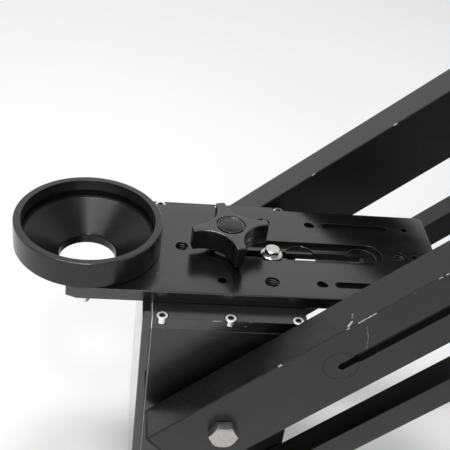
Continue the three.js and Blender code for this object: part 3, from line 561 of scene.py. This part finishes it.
def merge(mesh, other):
    """Adds another mesh's faces to this one."""
    kept = bpy.data.meshes.new("kept")
    other.to_mesh(kept)
    other.free()
    mesh.from_mesh(kept)
    bpy.data.meshes.remove(kept)
    return mesh


def thread(radius, z0, z1, pitch, depth):
    """Radii and heights of a thread's crests and roots from one height to another."""
    count = int((z1 - z0) / pitch * 2)
    return [(radius - depth * (k % 2), z0 + (z1 - z0) * k / count) for k in range(count + 1)]


def placed(name, data):
    """A new object in the scene."""
    made = bpy.data.objects.new(name, data)
    bpy.context.scene.collection.objects.link(made)
    return made


def piece(name, mesh, matrix, body, finish, replaced=None, inner=()):
    """The finished object of a mesh in millimetres. It replaces the CAD nodes given, or else the one in its
    own name less the last word. Inner finishes are for its faces of material 1 and up."""
    bmesh.ops.recalc_face_normals(mesh, faces=mesh.faces)
    data = bpy.data.meshes.new(name)
    mesh.to_mesh(data)
    mesh.free()
    data.transform(matrix)
    if matrix.determinant() < 0:
        data.flip_normals()
    data.shade_smooth()
    data.set_sharp_from_angle(angle=radians(26))
    made = placed(name, data)
    for material in (finish, *inner):
        data.materials.append(material)
    made.modifiers.new("weighted", "WEIGHTED_NORMAL").keep_sharp = True
    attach(made, body)
    if replaced is None:
        replaced = [name.rsplit("_", 1)[0]]
    if replaced:
        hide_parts(*replaced)


def dress(finish, *names):
    """Gives CAD nodes that keep their shape a finish."""
    for name in names:
        nodes[name].data.materials.clear()
        nodes[name].data.materials.append(finish)


def spun(degrees):
    return Matrix.Rotation(radians(degrees), 4, "Z")


def moved(x, y, z):
    return Matrix.Translation((x, y, z))


def both(side, low, high):
    return (low, high) if side > 0 else (-high, -low)


# Camera: place and directions solved on the bowl and the slide plate, in the head's frame
picture_half = 225
focal_pixels = 952.9
camera_place = Vector((18.4, -580.1, 443.0))
camera_right = Vector((0.9918, -0.0628, 0.1114)).normalized()
camera_look = Vector((0.1164, 0.8039, -0.5833))
camera_look = (camera_look - camera_right * camera_look.dot(camera_right)).normalized()
camera_data = bpy.data.cameras.new("camera")
camera_data.sensor_fit = "HORIZONTAL"
camera_data.angle = 2 * atan(picture_half / focal_pixels)
camera_data.clip_start = 0.02
camera_data.clip_end = 60
camera = placed("camera", camera_data)
axes = Matrix((camera_right, camera_right.cross(camera_look), -camera_look)).transposed()
camera.matrix_world = Matrix.Translation(HEAD @ camera_place) @ axes.to_4x4()
bpy.context.scene.camera = camera


# Floor, world and lamps
def pale_floor(lift):
    """Pale paper, lifted to the backdrop's white where the camera, metal or glass sees it."""
    n = surface("pale_floor")
    clouds = n.noise(n.place(), 3.0, 3.0, 0.5)
    rays = n.add("LightPath").outputs
    kinds = rays["Is Camera Ray"], rays["Is Glossy Ray"], rays["Is Transmission Ray"]
    seen = n.math("ADD", *kinds, clamp=True)
    colour = n.mix(n.between(clouds, 0.3, 0.7), (0.86, 0.86, 0.865), (0.88, 0.88, 0.88))
    return n.set(Base_Color=colour, Roughness=0.9, Emission_Color=(1.0, 1.0, 1.0),
                 Emission_Strength=n.math("MULTIPLY", seen, lift))


floor_half, floor_gap = 12, 0.02
floor_corners = [(x * floor_half, y * floor_half, 0) for x, y in ((-1, -1), (1, -1), (1, 1), (-1, 1))]
floor_mesh = bpy.data.meshes.new("floor")
floor_mesh.from_pydata(floor_corners, [], [(0, 1, 2, 3)])
floor_mesh.materials.append(pale_floor(lift=0.05))
floor = placed("floor", floor_mesh)
floor.location.z = cad_bounds[0][2] - floor_gap


def studio_world(front, back, overhead):
    """A pale room, dimmer on the camera's side (-Y) and overhead than behind the crane."""
    n = Nodes(bpy.data.worlds.new("studio"), "Background", "OutputWorld")
    along, up = n.parts(n.coords["Generated"])[1:]
    strength = n.math("MULTIPLY", n.between(along, -0.5, 0.2, front, back),
                      n.between(up, 0.62, 0.85, 1, overhead))
    return n.set(Color=(1, 1, 1), Strength=strength)


def softbox(name, at, size, power):
    """An area lamp aimed at the head."""
    light = bpy.data.lights.new(name, "AREA")
    light.shape = "RECTANGLE"
    light.size, light.size_y = size
    light.energy = power
    made = placed(name, light)
    made.location = at
    made.rotation_euler = (head_origin - Vector(at)).to_track_quat("-Z", "Y").to_euler()


bpy.context.scene.world = studio_world(front=0.62, back=0.95, overhead=0.45)
softbox("top", at=(-1.15, 0.08, 1.2), size=(0.34, 0.7), power=17)
softbox("front", at=(-0.95, -0.75, 0.75), size=(0.2, 0.2), power=3)
softbox("fill", at=(-2.2, -2.2, 1.2), size=(1.6, 1.6), power=4)
bpy.context.scene.view_settings.view_transform = "Standard"


# Bowl: flat rim, inner wall with a relief groove at its foot, cone down to the open hole
def bowl():
    span = Span("bowl", HEAD)
    outer, top, bottom = span.size.x / 2, span.high.z, span.low.z
    rim, step, cone, floor_radius, hole, hub, boss = 50.0, 48.4, 47.3, 22.7, 21.5, 38.0, 26.0
    groove_top, groove_foot, cone_top, lip, lip_foot = 13.2, 8.4, 7.7, -10.4, -17.4
    profile = [
        (hole, lip_foot), (boss, lip_foot), (boss, bottom), (hub - 0.7, bottom), (hub, bottom + 0.7),
        (hub, 0), (outer - 0.5, 0), (outer, 0.7), (outer, top - 0.7), (outer - 0.7, top), (rim, top),
        (step + 0.7, groove_top + 0.5), (step + 1.3, groove_top), (step + 0.9, groove_foot),
        (cone, cone_top), (floor_radius, lip + 1.1), (hole, lip),
    ]

    # the cone, the groove and the upright walls take the dimmer copies of the finish: painted shade
    def zone(centre, tilt):
        radius = centre.xy.length
        if radius < cone + 0.2 and lip_foot + 0.1 < centre.z < cone_top + 0.1:
            return 1
        if radius < rim and cone_top < centre.z < groove_top + 0.4:
            return 2
        if tilt < 0.3:
            return 4 if radius < rim else 3
        return 0

    return paint(turned(profile, 0.35, count=192), zone)


piece("bowl_turned", bowl(), HEAD, "camera_slide", bowl_finish,
      inner=[bowl_cone_finish, bowl_groove_finish, bowl_wall_finish, bowl_inside_finish])


# Socket cap screws, standing on the seat of the head at z = 0
screw_head_height = 5.0


def socket_screw(shank):
    head, body, height, socket, depth = 4.25, screw_shank_radius, screw_head_height, 2.3, 2.6
    chamfer, knurls, knurl_depth, count = 0.25, 36, 0.09, 72
    rise = [(head, chamfer + (height - 1.2) * k / 6) for k in range(7)]
    crown = soften([(head, height - 0.9), (head, height), (head - 0.9, height)], 0.7, 4, closed=False)
    profile = [(0, -shank), (body - 0.5, -shank), (body, -shank + 0.6), (body, -FIT), (body + chamfer, 0),
               (head - chamfer, 0)] + rise + crown

    def knurled(radius, z, angle):
        grooved = radius > head - 0.1 and 0.3 < z < height - 0.9
        return -knurl_depth * (0.5 + 0.5 * cos(knurls * angle)) if grooved else 0

    mesh = lathe(profile, count, knurled)
    rim = list(mesh.verts)[-count:]
    outside = set(mesh.faces)
    corners = circle(0, 0, socket, 6)
    rings = [loop(mesh, shift(corners, -chamfer), height), loop(mesh, corners, height - chamfer),
             loop(mesh, corners, height - depth)]
    bridge(mesh, rings)
    close(mesh, rings[-1], height - depth - 0.7)
    # faces inside the hex socket take the darker steel: painted shade
    for face in mesh.faces:
        face.material_index = int(face not in outside)
    fill(mesh, [rim, rings[0]])
    return mesh


def cap_screw(kind, place, shank, body, turn, head_up=True):
    """A socket screw in place of its CAD node, with its head at the upper or the lower end."""
    node = f"{kind}_screw_{place}"
    span = Span(node, HEAD)
    seat = span.high.z - screw_head_height if head_up else span.low.z + screw_head_height
    matrix = HEAD @ moved(span.middle.x, span.middle.y, seat) @ turn
    piece(f"{kind}_cap_screw_{place}", socket_screw(shank), matrix, body, screw_finish, [node],
          [socket_finish])


for hand, _ in SIDES:
    for index, place in enumerate(("front", "middle", "rear")):
        cap_screw("top", f"{place}_{hand}", shank=16, body="head", turn=spun(20 + 50 * index))
    for place in ("side", "rear"):
        cap_screw("bowl", f"{place}_{hand}", shank=14, body="camera_slide", turn=UPSIDE_DOWN, head_up=False)


# Bracket's top plate, with counterbores that break out through its sides
def bitten_edge(x, edge_y, centre_y, radius):
    """The part of a counterbore inside the plate, from its low-x end on the edge to its high-x end."""
    inward = 1 if edge_y < 0 else -1
    below = asin(abs(edge_y - centre_y) / radius)
    points = arc(0, 0, radius, pi + below, -below, 24)
    return [(x + px, centre_y + inward * py) for px, py in points]


def top_plate():
    span = Span("bracket_top_plate", HEAD)
    bore, seat = 4.75, span.high.z - 5.3
    places = [Span(f"top_screw_{place}_left", HEAD).middle.x for place in ("front", "middle", "rear")]
    inset = abs(Span("top_screw_front_left", HEAD).middle.y)
    x0, x1, half = span.low.x, span.high.x, span.high.y
    upper = [(x0, -half)]
    for x in places:
        upper += bitten_edge(x, -half, -inset, bore)
    upper += [(x1, -half), (x1, half)]
    for x in reversed(places):
        upper += reversed(bitten_edge(x, half, inset, bore))
    upper += [(x0, half)]
    lower = [(x0, -half), (x1, -half), (x1, half), (x0, half)]
    shanks = [circle(x, side * inset, screw_hole_radius, 32) for x in places for side in (-1, 1)]
    studs = [circle(Span(name, HEAD).middle.x, 0, stud_hole_radius, 40)
             for name in ("clamp_knob_stud", "flange_bolt")]
    mesh = slab(upper, studs, seat, span.high.z, 0, 0.3)
    return slab(lower, shanks + studs, span.low.z, seat, 0.3, 0, mesh=mesh)


piece("bracket_top", top_plate(), HEAD, "head", plates_finish, ["bracket_top_plate"])


# Slide plate: stepped slot with two round pockets, side slots, threaded holes and pin holes
def plate_outline():
    corner, clip_long, clip_wide = 5.0, 8.0, 3.2
    front, rear, half = slide.low.x, slide.high.x, slide.high.y
    reach = acos(front / bowl_notch)
    bite = arc(0, 0, bowl_notch, reach, -reach, 72)
    outline = [(front, half - clip_wide)] + bite + [(front, -half + clip_wide), (front + clip_long, -half)]
    outline += arc(rear - corner, -half + corner, corner, -pi / 2, 0, 8)
    outline += arc(rear - corner, half - corner, corner, 0, pi / 2, 8)
    return outline + [(front + clip_long, half)]


def double_hole(x, y):
    """A pin hole drilled twice: the second, smaller hole cuts into the first."""
    apart, turn = hypot(stray_right, stray_near), atan2(-stray_near, stray_right)
    first = acos((apart ** 2 + pin_radius ** 2 - stray_radius ** 2) / (2 * apart * pin_radius))
    second = acos((apart ** 2 + stray_radius ** 2 - pin_radius ** 2) / (2 * apart * stray_radius))
    outline = arc(x, y, pin_radius, turn + first, turn + 2 * pi - first, 30)
    return outline + arc(x + stray_right, y - stray_near, stray_radius, turn - pi + second,
                         turn + pi - second, 20)[1:-1]


def plate_holes():
    holes = [circle(x, 0, main_thread_radius) for x in main_thread_places]
    holes.append(circle(centre_pin_place, 0, rear_pin_radius, 32))
    for side in (-1, 1):
        line = side * side_lines[side]
        holes += [slot(side_slot_front, side_slot_rear, line, side_slot_width),
                  circle(pin_front_place, side * pin_front_lines[side], pin_radius, 36),
                  circle(side_thread_place, line, side_thread_radius),
                  double_hole(pin_side_place, line),
                  circle(rear_pin_place, line, rear_pin_radius, 32)]
        for turn in (0, bowl_screw_turn):
            x, y = bowl_screw_circle * sin(turn), side * bowl_screw_circle * cos(turn)
            holes.append(circle(x, y, screw_hole_radius, 32))
    return holes


def recess_outline():
    """The recess, with the cutter's chatter marks on its rear end."""
    half, ribs, rib_depth, steps = recess_width / 2, 34, 0.09, 204
    rear = []
    for k in range(steps + 1):
        a = pi * (k / steps - 0.5)
        radius = half - rib_depth * (0.5 + 0.5 * cos(2 * ribs * a))
        rear.append((recess_rear + radius * cos(a), radius * sin(a)))
    return rear + arc(recess_front, 0, half, pi / 2, 1.5 * pi, 40)


def pocketed_slot():
    """The slot joined with the two round pockets that it runs through."""
    half = slot_width / 2
    meet = asin(half / pocket_radius)
    first, last = pocket_places
    outline = arc(last, 0, pocket_radius, -pi + meet, pi - meet, 72)
    outline += arc(first, 0, pocket_radius, meet, pi - meet, 32)
    outline += arc(slot_front, 0, half, pi / 2, 1.5 * pi, 20)
    return outline + arc(first, 0, pocket_radius, -pi + meet, -meet, 32)


def slide_plate():
    outline, holes = plate_outline(), plate_holes()
    mesh = slab(outline, holes + [recess_outline()], -recess_depth, 0, 0, 1.1, 0.3)
    slab(outline, holes + [pocketed_slot()], -pocket_depth, -recess_depth, 0, 0.15, 0.15, mesh=mesh)
    narrow = slot(slot_front, slot_rear, 0, slot_width)
    slab(outline, holes + [narrow], slide.low.z, -pocket_depth, 0.8, 0.05, 0.05, mesh=mesh)
    margin, edge, rim_foot = 0.1, 2, -0.6

    def zone(centre, tilt):
        in_recess = (abs(centre.y) < recess_width / 2 + margin
                     and slide.low.z + margin < centre.z < rim_foot)
        off_edges = abs(centre.y) < slide.high.y - edge and centre.x < slide.high.x - edge
        on_hole = off_edges and centre.xy.length > bowl_notch + 1 and tilt < 0.5
        on_pocket = min(abs(hypot(centre.x - x, centre.y) - pocket_radius) for x in pocket_places) < 0.3
        # the pockets' rounded edges take bright metal: painted highlight
        if in_recess and on_pocket and 0.15 < tilt < 0.98:
            return 3
        # walls of the holes and the slot take the darker wall finish: painted shade
        return 2 if on_hole and (not in_recess or abs(centre.y) < slot_width) else int(in_recess)

    return paint(mesh, zone)


def threaded_wall(x, y, radius, z0, z1, start=0.0, end=2 * pi):
    """A thread on the wall of a hole, as a sleeve. The upper edges of its crests are material 1, bright
    metal as a painted highlight.
    """
    mesh = bmesh.new()
    pitch, depth, steps = 2.1, 0.7, 40
    profile = ((0.0, 0.0), (0.4, depth), (0.5, depth), (0.64, depth * 0.75))
    angles = [start + (end - start) * k / steps for k in range(steps + 1)]
    rings = []
    for turn in range(int((z1 - z0) / pitch)):
        for share, inward in profile:
            r, z = radius + 0.02 - inward, z0 + pitch * (turn + share)
            heights = [max(z0, min(z1, z + pitch * a / (2 * pi))) for a in angles]
            rings.append([mesh.verts.new((x + r * cos(a), y + r * sin(a), height))
                          for a, height in zip(angles, heights)])
    for k, (upper, lower) in enumerate(zip(rings, rings[1:])):
        for i in range(steps):
            face = mesh.faces.new((upper[i], upper[i + 1], lower[i + 1], lower[i]))
            face.material_index = int(k % len(profile) == 2)
    return mesh


def plate_threads():
    low, high, quarter = slide.low.z + 0.3, -0.4, pi / 2
    holes = [(x, 0, main_thread_radius) for x in main_thread_places]
    holes += [(side_thread_place, side * side_lines[side], side_thread_radius) for side in (-1, 1)]
    mesh = bmesh.new()
    for hole in holes:
        merge(mesh, threaded_wall(*hole, low, high))
    rear = threaded_wall(slot_rear, 0, slot_width / 2, low, -pocket_depth - 0.2, -quarter, quarter)
    return merge(mesh, rear)


piece("slide_plate_milled", slide_plate(), HEAD, "camera_slide", slide_finish,
      inner=[recess_finish, slot_wall_finish, edge_highlight_finish])
piece("slide_plate_threads", plate_threads(), HEAD, "camera_slide", slot_wall_finish, [],
      [edge_highlight_finish])


# Star knobs
def star(reach, tip, waist):
    """A star outline with four lobes, counterclockwise, its tips' corners rounded."""
    corner, steps = 1.6, 20
    span = reach + tip - sqrt(2) * waist
    centre = (reach ** 2 + tip ** 2 - waist ** 2) / (2 * span)
    radius = sqrt(2) * centre - waist
    start = atan2(tip - centre, reach - centre)
    side = arc(centre, centre, radius, start, -1.5 * pi - start, steps)
    turns = [Matrix.Rotation(lobe * pi / 2, 2) for lobe in range(4)]
    points = [tuple(turn @ Vector(point)) for turn in turns for point in side]
    tips = [i for i in range(len(points)) if i % (steps + 1) in (0, steps)]
    return soften(points, corner, 5, share=0.8, corners=tips)


def ring_stack(mesh, profile, count):
    """Joined rings about the axis, of these radii and heights."""
    rings = [loop(mesh, circle(0, 0, radius, count), z) for radius, z in profile]
    bridge(mesh, rings)
    return rings


def star_grip(reach, tip, waist, height, hub, drop, foot=None, wall=2.2, edge=1.0, seat=None, seat_depth=0):
    """A moulded grip about Z: its foot on z = 0, lobes hollow from below, and a round seat in the top."""
    mesh = bmesh.new()
    top, foot, roof, count = drop + height, foot or hub, 5.0, 72
    outer = star(reach, tip, waist)
    inner = shift(outer, wall)
    rings = [loop(mesh, shift(outer, inward), z) for inward, z in rounded_steps(drop, top, 0.5, edge, 5)]
    rings += [loop(mesh, inner, drop), loop(mesh, inner, top - roof)]
    bridge(mesh, rings)
    hub_sizes = [(hub, top - roof), (hub, drop - 0.6), (foot - 0.8, drop - 0.8), (foot, drop - 1.6),
                 (foot, 0.7), (foot - 0.5, 0)]
    hub_rings = ring_stack(mesh, hub_sizes, count)
    fill(mesh, [rings[-1], hub_rings[0]])
    close(mesh, hub_rings[-1], 0)
    if not seat:
        fill(mesh, [rings[0]])
        return mesh
    seat_sizes = [(seat + 0.5, top), (seat + 0.15, top - 0.12), (seat, top - 0.45), (seat, top - seat_depth)]
    seat_rings = ring_stack(mesh, seat_sizes, count)
    fill(mesh, [rings[0], seat_rings[0]])
    close(mesh, seat_rings[-1], top - seat_depth)
    return mesh


clamp_drop, clamp_height, clamp_seat_depth = 4.8, 17.4, 1.6
clamp_top = clamp_drop + clamp_height
clamp_span = Span("clamp_knob_stud", HEAD)
CLAMP = HEAD @ moved(clamp_span.middle.x, 0, FIT) @ spun(12.5)


def clamp_cap():
    """Round cap: a raised rim round a low, bare dome."""
    radius, dome, bulge, lip, steps = 10.2, 8.8, 1.0, 0.8, 8
    seat, top, dome_foot = clamp_top - clamp_seat_depth + FIT, clamp_top + FIT, clamp_top - 0.5
    rim = soften([(radius, seat), (radius, top), (radius - lip, top), (dome, dome_foot)], 0.3, closed=False)
    angles = [pi / 2 * k / steps for k in range(1, steps)]
    crown = [(dome * cos(a), dome_foot + bulge * sin(a)) for a in angles]
    mesh = lathe([(0, seat)] + rim + crown + [(0, dome_foot + bulge)])
    return paint(mesh, lambda centre, tilt: int(dome < centre.xy.length < radius - 0.1))


def threaded_rod(radius, z0, z1):
    """A stud with thread crests and chamfered ends."""
    chamfer = 0.9
    crests = thread(radius, z0 + chamfer, z1 - chamfer, 1.25, 0.5)
    return lathe([(0, z0), (radius - chamfer, z0)] + crests + [(radius - chamfer, z1), (0, z1)], 48)


clamp_grip = star_grip(reach=29.8, tip=3.9, waist=14.7, height=clamp_height, hub=11, drop=clamp_drop,
                       foot=15, seat=11.2, seat_depth=clamp_seat_depth)
# the grip's upright faces take the darker side finish: painted shade
paint(clamp_grip, lambda centre, tilt: int(tilt < 0.2))
clamp_stud = threaded_rod(stud_radius, clamp_span.low.z - FIT, clamp_drop + 6)
piece("clamp_grip", clamp_grip, CLAMP, "clamp_knob", knob_finish, ["clamp_knob_grip"],
      [knob_side_finish])
piece("clamp_cap", clamp_cap(), CLAMP, "clamp_knob", cap_finish, ["clamp_knob_cap"],
      [cap_rim_finish])
piece("clamp_stud", clamp_stud, CLAMP, "clamp_knob", dull_steel, ["clamp_knob_stud"])


# Hexagon heads and nuts
def hex_rings(mesh, radius, z0, z1, chamfer_low=False):
    """The sides of a hexagonal head whose corners are turned off. Returns its top and bottom rings."""
    per_side, flat, slope = 10, radius * cos(pi / 6), 0.55
    corners = [Vector(corner) for corner in circle(0, 0, radius, 6)]
    points = [corners[k].lerp(corners[(k + 1) % 6], i / per_side) for k in range(6) for i in range(per_side)]
    inner = [point.normalized() * flat * 0.97 for point in points]
    falls = [(point.length - flat * 0.97) * slope for point in points]
    top = [mesh.verts.new((*point, z1 - fall)) for point, fall in zip(points, falls)]
    rings = [loop(mesh, inner, z1), top]
    if chamfer_low:
        rings.append([mesh.verts.new((*point, z0 + fall)) for point, fall in zip(points, falls)])
    rings.append(loop(mesh, inner if chamfer_low else points, z0))
    bridge(mesh, rings)
    return rings[0], rings[-1]


def solid_hex(radius, z0, z1):
    mesh = bmesh.new()
    for ring in hex_rings(mesh, radius, z0, z1):
        fill(mesh, [ring])
    return mesh


def nut(radius, bore, z0, z1):
    mesh = bmesh.new()
    top, bottom = hex_rings(mesh, radius, z0, z1, chamfer_low=True)
    crests = thread(bore, z0 + 0.7, z1 - 0.7, 1.25, 0.45)[::-1]
    rings = ring_stack(mesh, [(bore + 0.7, z1)] + crests + [(bore + 0.7, z0)], 48)
    fill(mesh, [top, rings[0]])
    fill(mesh, [bottom, rings[-1]])
    return mesh


bolt_span = Span("flange_bolt", HEAD)


def flange_bolt():
    """Flange bolt in the slide plate's recess: rim, low cone, chamfered hexagon and shank."""
    shank, rim, hexagon = stud_radius, bolt_span.size.x / 2, 6.3
    foot, seat = bolt_span.low.z, FIT - recess_depth
    rim_top, crown = seat + 1.3, seat + 2
    profile = [(0, foot), (shank - 0.6, foot), (shank, foot + 0.7), (shank, seat), (rim - 0.3, seat),
               (rim, seat + 0.3), (rim, rim_top - 0.3), (rim - 0.35, rim_top), (hexagon + 0.2, crown),
               (0, crown)]
    return merge(lathe(profile), solid_hex(hexagon, crown - FIT, bolt_span.high.z))


bolt_matrix = HEAD @ moved(bolt_span.middle.x, 0, 0) @ spun(11)
piece("flange_bolt_head", flange_bolt(), bolt_matrix, "head", steel_finish)

# Flat plates and beams keep the solids' own shapes
dress(plates_finish, "bracket_bottom_plate", "yoke_brace")
dress(side_finish, "bracket_side_plate_left", "bracket_side_plate_right")
dress(front_finish, "bracket_front_plate")
dress(near_beam_finish, "beam_left")
dress(far_beam_finish, "beam_right")
dress(endcap_finish, *(f"beam_cap_{end}_{hand}" for end in ("front", "rear") for hand, _ in SIDES))


# Control rods, with round ends
def control_rod(low, high):
    height, edge, bore = 22, 0.7, 5.35
    bores = [circle(x, 0, bore, 40) for x in (-front_reach, 0)]
    return slab(slot(-front_reach, 0, 0, height, 32), bores, low, high, edge, edge)


for hand, side in SIDES:
    bar = control_rod(*both(side, rod_inner, rod_outer))
    piece(f"control_rod_bar_{hand}", bar, RODS @ STAND, f"rod_{hand}", rods_finish,
          [f"control_rod_{hand}"])


# Bushes and spacers on the axles
def sleeve(outer, inner, y0, y1):
    return turned([(inner, y0), (outer, y0), (outer, y1), (inner, y1)], 0.5)


for hand, side in SIDES:
    across_beam = both(side, beam_inner, beam_outer)
    beside_beam = both(side, bracket_half, beam_inner - FIT)
    for end, matrix, body, bush, spacer, bore in (("head", HEAD_PIVOT, "head", 9, 13, 6 + FIT),
                                                  ("tilt", TILT, "yoke", 15, 20, 10 + FIT)):
        piece(f"{end}_bush_turned_{hand}", sleeve(bush, bore, *across_beam), matrix, "boom", bronze_finish,
              [f"{end}_bush_{hand}"])
        piece(f"{end}_spacer_turned_{hand}", sleeve(spacer, bore, *beside_beam), matrix, body, bar_finish,
              [f"{end}_spacer_{hand}"])


# Axles about Z: a hexagonal head at the low end, a thread at the high end
def axle(radius, seat, hexagon, thickness):
    low, tip, run = -seat - FIT, seat + FIT + thickness + 3, 4
    crests = thread(radius, seat - run, tip - 0.6, 1.25, 0.5)
    mesh = lathe([(0, low - 0.2), (radius, low - 0.2)] + crests + [(radius - 1.1, tip), (0, tip)], 64)
    head = solid_hex(hexagon, low, low + thickness)
    for vert in head.verts:
        vert.co.z = 2 * low - vert.co.z
    return merge(mesh, head)


for name, matrix, body, radius, seat, hexagon, thickness in (
        ("head_beam", HEAD_PIVOT, "head", 6, beam_outer, 11, 7.5),
        ("head_rod", HEAD_ROD, "head", 5, rod_outer, 9, 6),
        ("yoke_rod", YOKE_ROD, "yoke", 5, rod_outer, 9, 6)):
    piece(f"{name}_axle_turned", axle(radius, seat, hexagon, thickness), matrix, body, dull_steel)
    seat += FIT
    piece(f"{name}_nut_cut", nut(hexagon, radius + FIT, seat, seat + thickness), matrix, body, steel_finish)


def tilt_axle():
    span, seat, radius, hexagon = Span("tilt_axle", BASE), beam_outer + FIT, 10, 17
    shaft = [(0, span.low.y), (radius, span.low.y), (radius, seat + 0.6), (0, seat + 0.6)]
    return merge(turned(shaft, 1.0), solid_hex(hexagon, seat, span.high.y))


piece("tilt_axle_turned", tilt_axle(), TILT, "yoke", dull_steel)


# Cross bars and the counterweight bar with its collars
def in_boom(name):
    """The frame of a bar across the boom, its length along Z."""
    return BOOM @ moved(Span(name, BOOM).middle.x, 0, 0) @ TO_Y


def round_bar(half, radius, edge):
    ends = [(0, -half), (radius - edge, -half), (radius, -half + edge), (radius, half - edge),
            (radius - edge, half), (0, half)]
    return turned(ends, 0.4, 2)


for node in ("cross_bar_front", "cross_bar_rear"):
    bar = round_bar(beam_inner - FIT, radius=12, edge=0.8)
    piece(f"{node}_turned", bar, in_boom(node), "boom", bar_finish)
BAR = in_boom("counterweight_bar")
bar_half = Span("counterweight_bar", BASE).high.y
weight_bar = round_bar(bar_half, radius=12.5, edge=2)
piece("counterweight_bar_turned", weight_bar, BAR, "boom", bar_steel)


def collar():
    """Weight collar with its knurled thumb screw."""
    bore, outer, half, reach, grip, knurls = 12.8, 23, 9, 32, 5, 24
    mesh = turned([(bore, -half), (outer, -half), (outer, half), (bore, half)], 1.5, 4, 112)
    stem = [(0, outer - 2), (grip, outer - 2), (grip, reach - 0.7), (grip - 0.6, reach), (0, reach)]

    def knurled(radius, z, angle):
        return -0.18 * (0.5 + 0.5 * cos(knurls * angle)) if radius > grip - 0.1 else 0

    screw = turned(stem, 0.5, 2, 72, knurled)
    bmesh.ops.rotate(screw, verts=screw.verts, cent=(0, 0, 0), matrix=TO_MINUS_Y.to_3x3())
    return merge(mesh, screw)


for hand, _ in SIDES:
    node = f"weight_collar_{hand}"
    matrix = BAR @ moved(0, 0, Span(node, BASE).middle.y)
    piece(f"weight_collar_turned_{hand}", collar(), matrix, f"collar_{hand}", bar_steel, [node])

# Fulcrum: mounting flange, housing, bearing, spindle, platform and yoke
flange = Span("mount_flange", BASE)
housing, bearing, spindle, platform = (
    Span(f"pan_{name}", BASE) for name in ("housing", "bearing", "spindle", "platform"))
flange_circle, flange_hole, race_bore, spindle_radius, platform_corner = 58, 4.3, 20.4, 20, 14


def mount_flange():
    angles = [pi / 2 * (k + 0.5) for k in range(4)]
    holes = [circle(flange_circle * cos(a), flange_circle * sin(a), flange_hole, 40) for a in angles]
    return slab(circle(0, 0, flange.high.x, 160), holes, flange.low.z, flange.high.z)


def pan_housing():
    low, high, radius, edge, floor_thickness = housing.low.z, housing.high.z, housing.high.x, 1.5, 4
    profile = [(0, low), (radius, low), (radius, high - edge), (radius - edge, high), (race_bore, high),
               (race_bore, low + floor_thickness), (0, low + floor_thickness)]
    return turned(profile, 0.6, count=160)


def pan_bearing():
    """Thrust bearing: two races with a thin gap between them."""
    low, high, outer, gap = bearing.low.z, bearing.high.z, bearing.high.x, 0.4
    middle = (low + high) / 2
    profile = [(race_bore, low), (outer, low), (outer, middle - 2 * gap), (outer - 1, middle - gap),
               (outer - 1, middle + gap), (outer, middle + 2 * gap), (outer, high), (race_bore, high)]
    return turned(profile, 0.4, 2, 160)


def pan_spindle():
    low, high, radius = spindle.low.z, spindle.high.z, spindle_radius
    return turned([(0, low), (radius, low), (radius, high), (0, high)], 0.6, 2)


def pan_platform():
    x, y, radius = platform.high.x, platform.high.y, platform_corner
    outline = []
    for quarter, (cx, cy) in enumerate(((x, -y), (x, y), (-x, y), (-x, -y))):
        centre = (cx - copysign(radius, cx), cy - copysign(radius, cy))
        outline += arc(*centre, radius, pi / 2 * (quarter - 1), pi / 2 * quarter, 12)
    return slab(outline, [], platform.low.z, platform.high.z)


def yoke_plate(span):
    foot, radius, bottom, axle_bore, rod_bore = 52.0, 34.0, span.low.z, 10.4, 5.4
    top, rods_at = tilt_pivot.z / MM, rod_pivot.z / MM
    lean = atan2(foot, top - bottom)
    tangent = acos(radius / hypot(foot, top - bottom)) - (pi / 2 - lean)
    outline = [(-foot, bottom), (foot, bottom)] + arc(0, top, radius, tangent, pi - tangent, 48)
    bores = [circle(0, top, axle_bore, 64), circle(0, rods_at, rod_bore, 40)]
    return slab(outline, bores, span.low.y, span.high.y)


piece("mount_flange_turned", mount_flange(), BASE, "mount", pan_finish)
piece("pan_housing_turned", pan_housing(), BASE, "mount", pan_finish)
piece("pan_bearing_ring", pan_bearing(), BASE, "mount", steel_finish)
piece("pan_spindle_turned", pan_spindle(), BASE, "yoke", dull_steel)
piece("pan_platform_milled", pan_platform(), BASE, "yoke", plates_finish)
for node in ("yoke_plate_left", "yoke_plate_right"):
    piece(f"{node}_milled", yoke_plate(Span(node, BASE)), BASE @ STAND, "yoke", plates_finish)

# Brake knobs
TILT_KNOB = frame_at(tilt_pivot - Vector((0, (beam_outer + FIT) * MM, 0)), TO_MINUS_Y)
tilt_grip = star_grip(reach=36, tip=7, waist=21, height=18, hub=17, drop=6, wall=2.6, edge=1.4)
piece("tilt_knob_moulded", tilt_grip, TILT_KNOB, "tilt_knob", brake_finish, ["tilt_brake_knob"])
PAN_KNOB = frame_at(Vector((housing.high.x + FIT, 0, housing.middle.z)) * MM, TO_X)
pan_grip = star_grip(reach=16, tip=3.4, waist=9.5, height=14, hub=7, drop=8, wall=2.0, edge=0.9)
merge(pan_grip, threaded_rod(radius=4, z0=-30, z1=FIT))
piece("pan_knob_moulded", pan_grip, PAN_KNOB, "pan_knob", brake_finish, ["pan_brake_knob"])
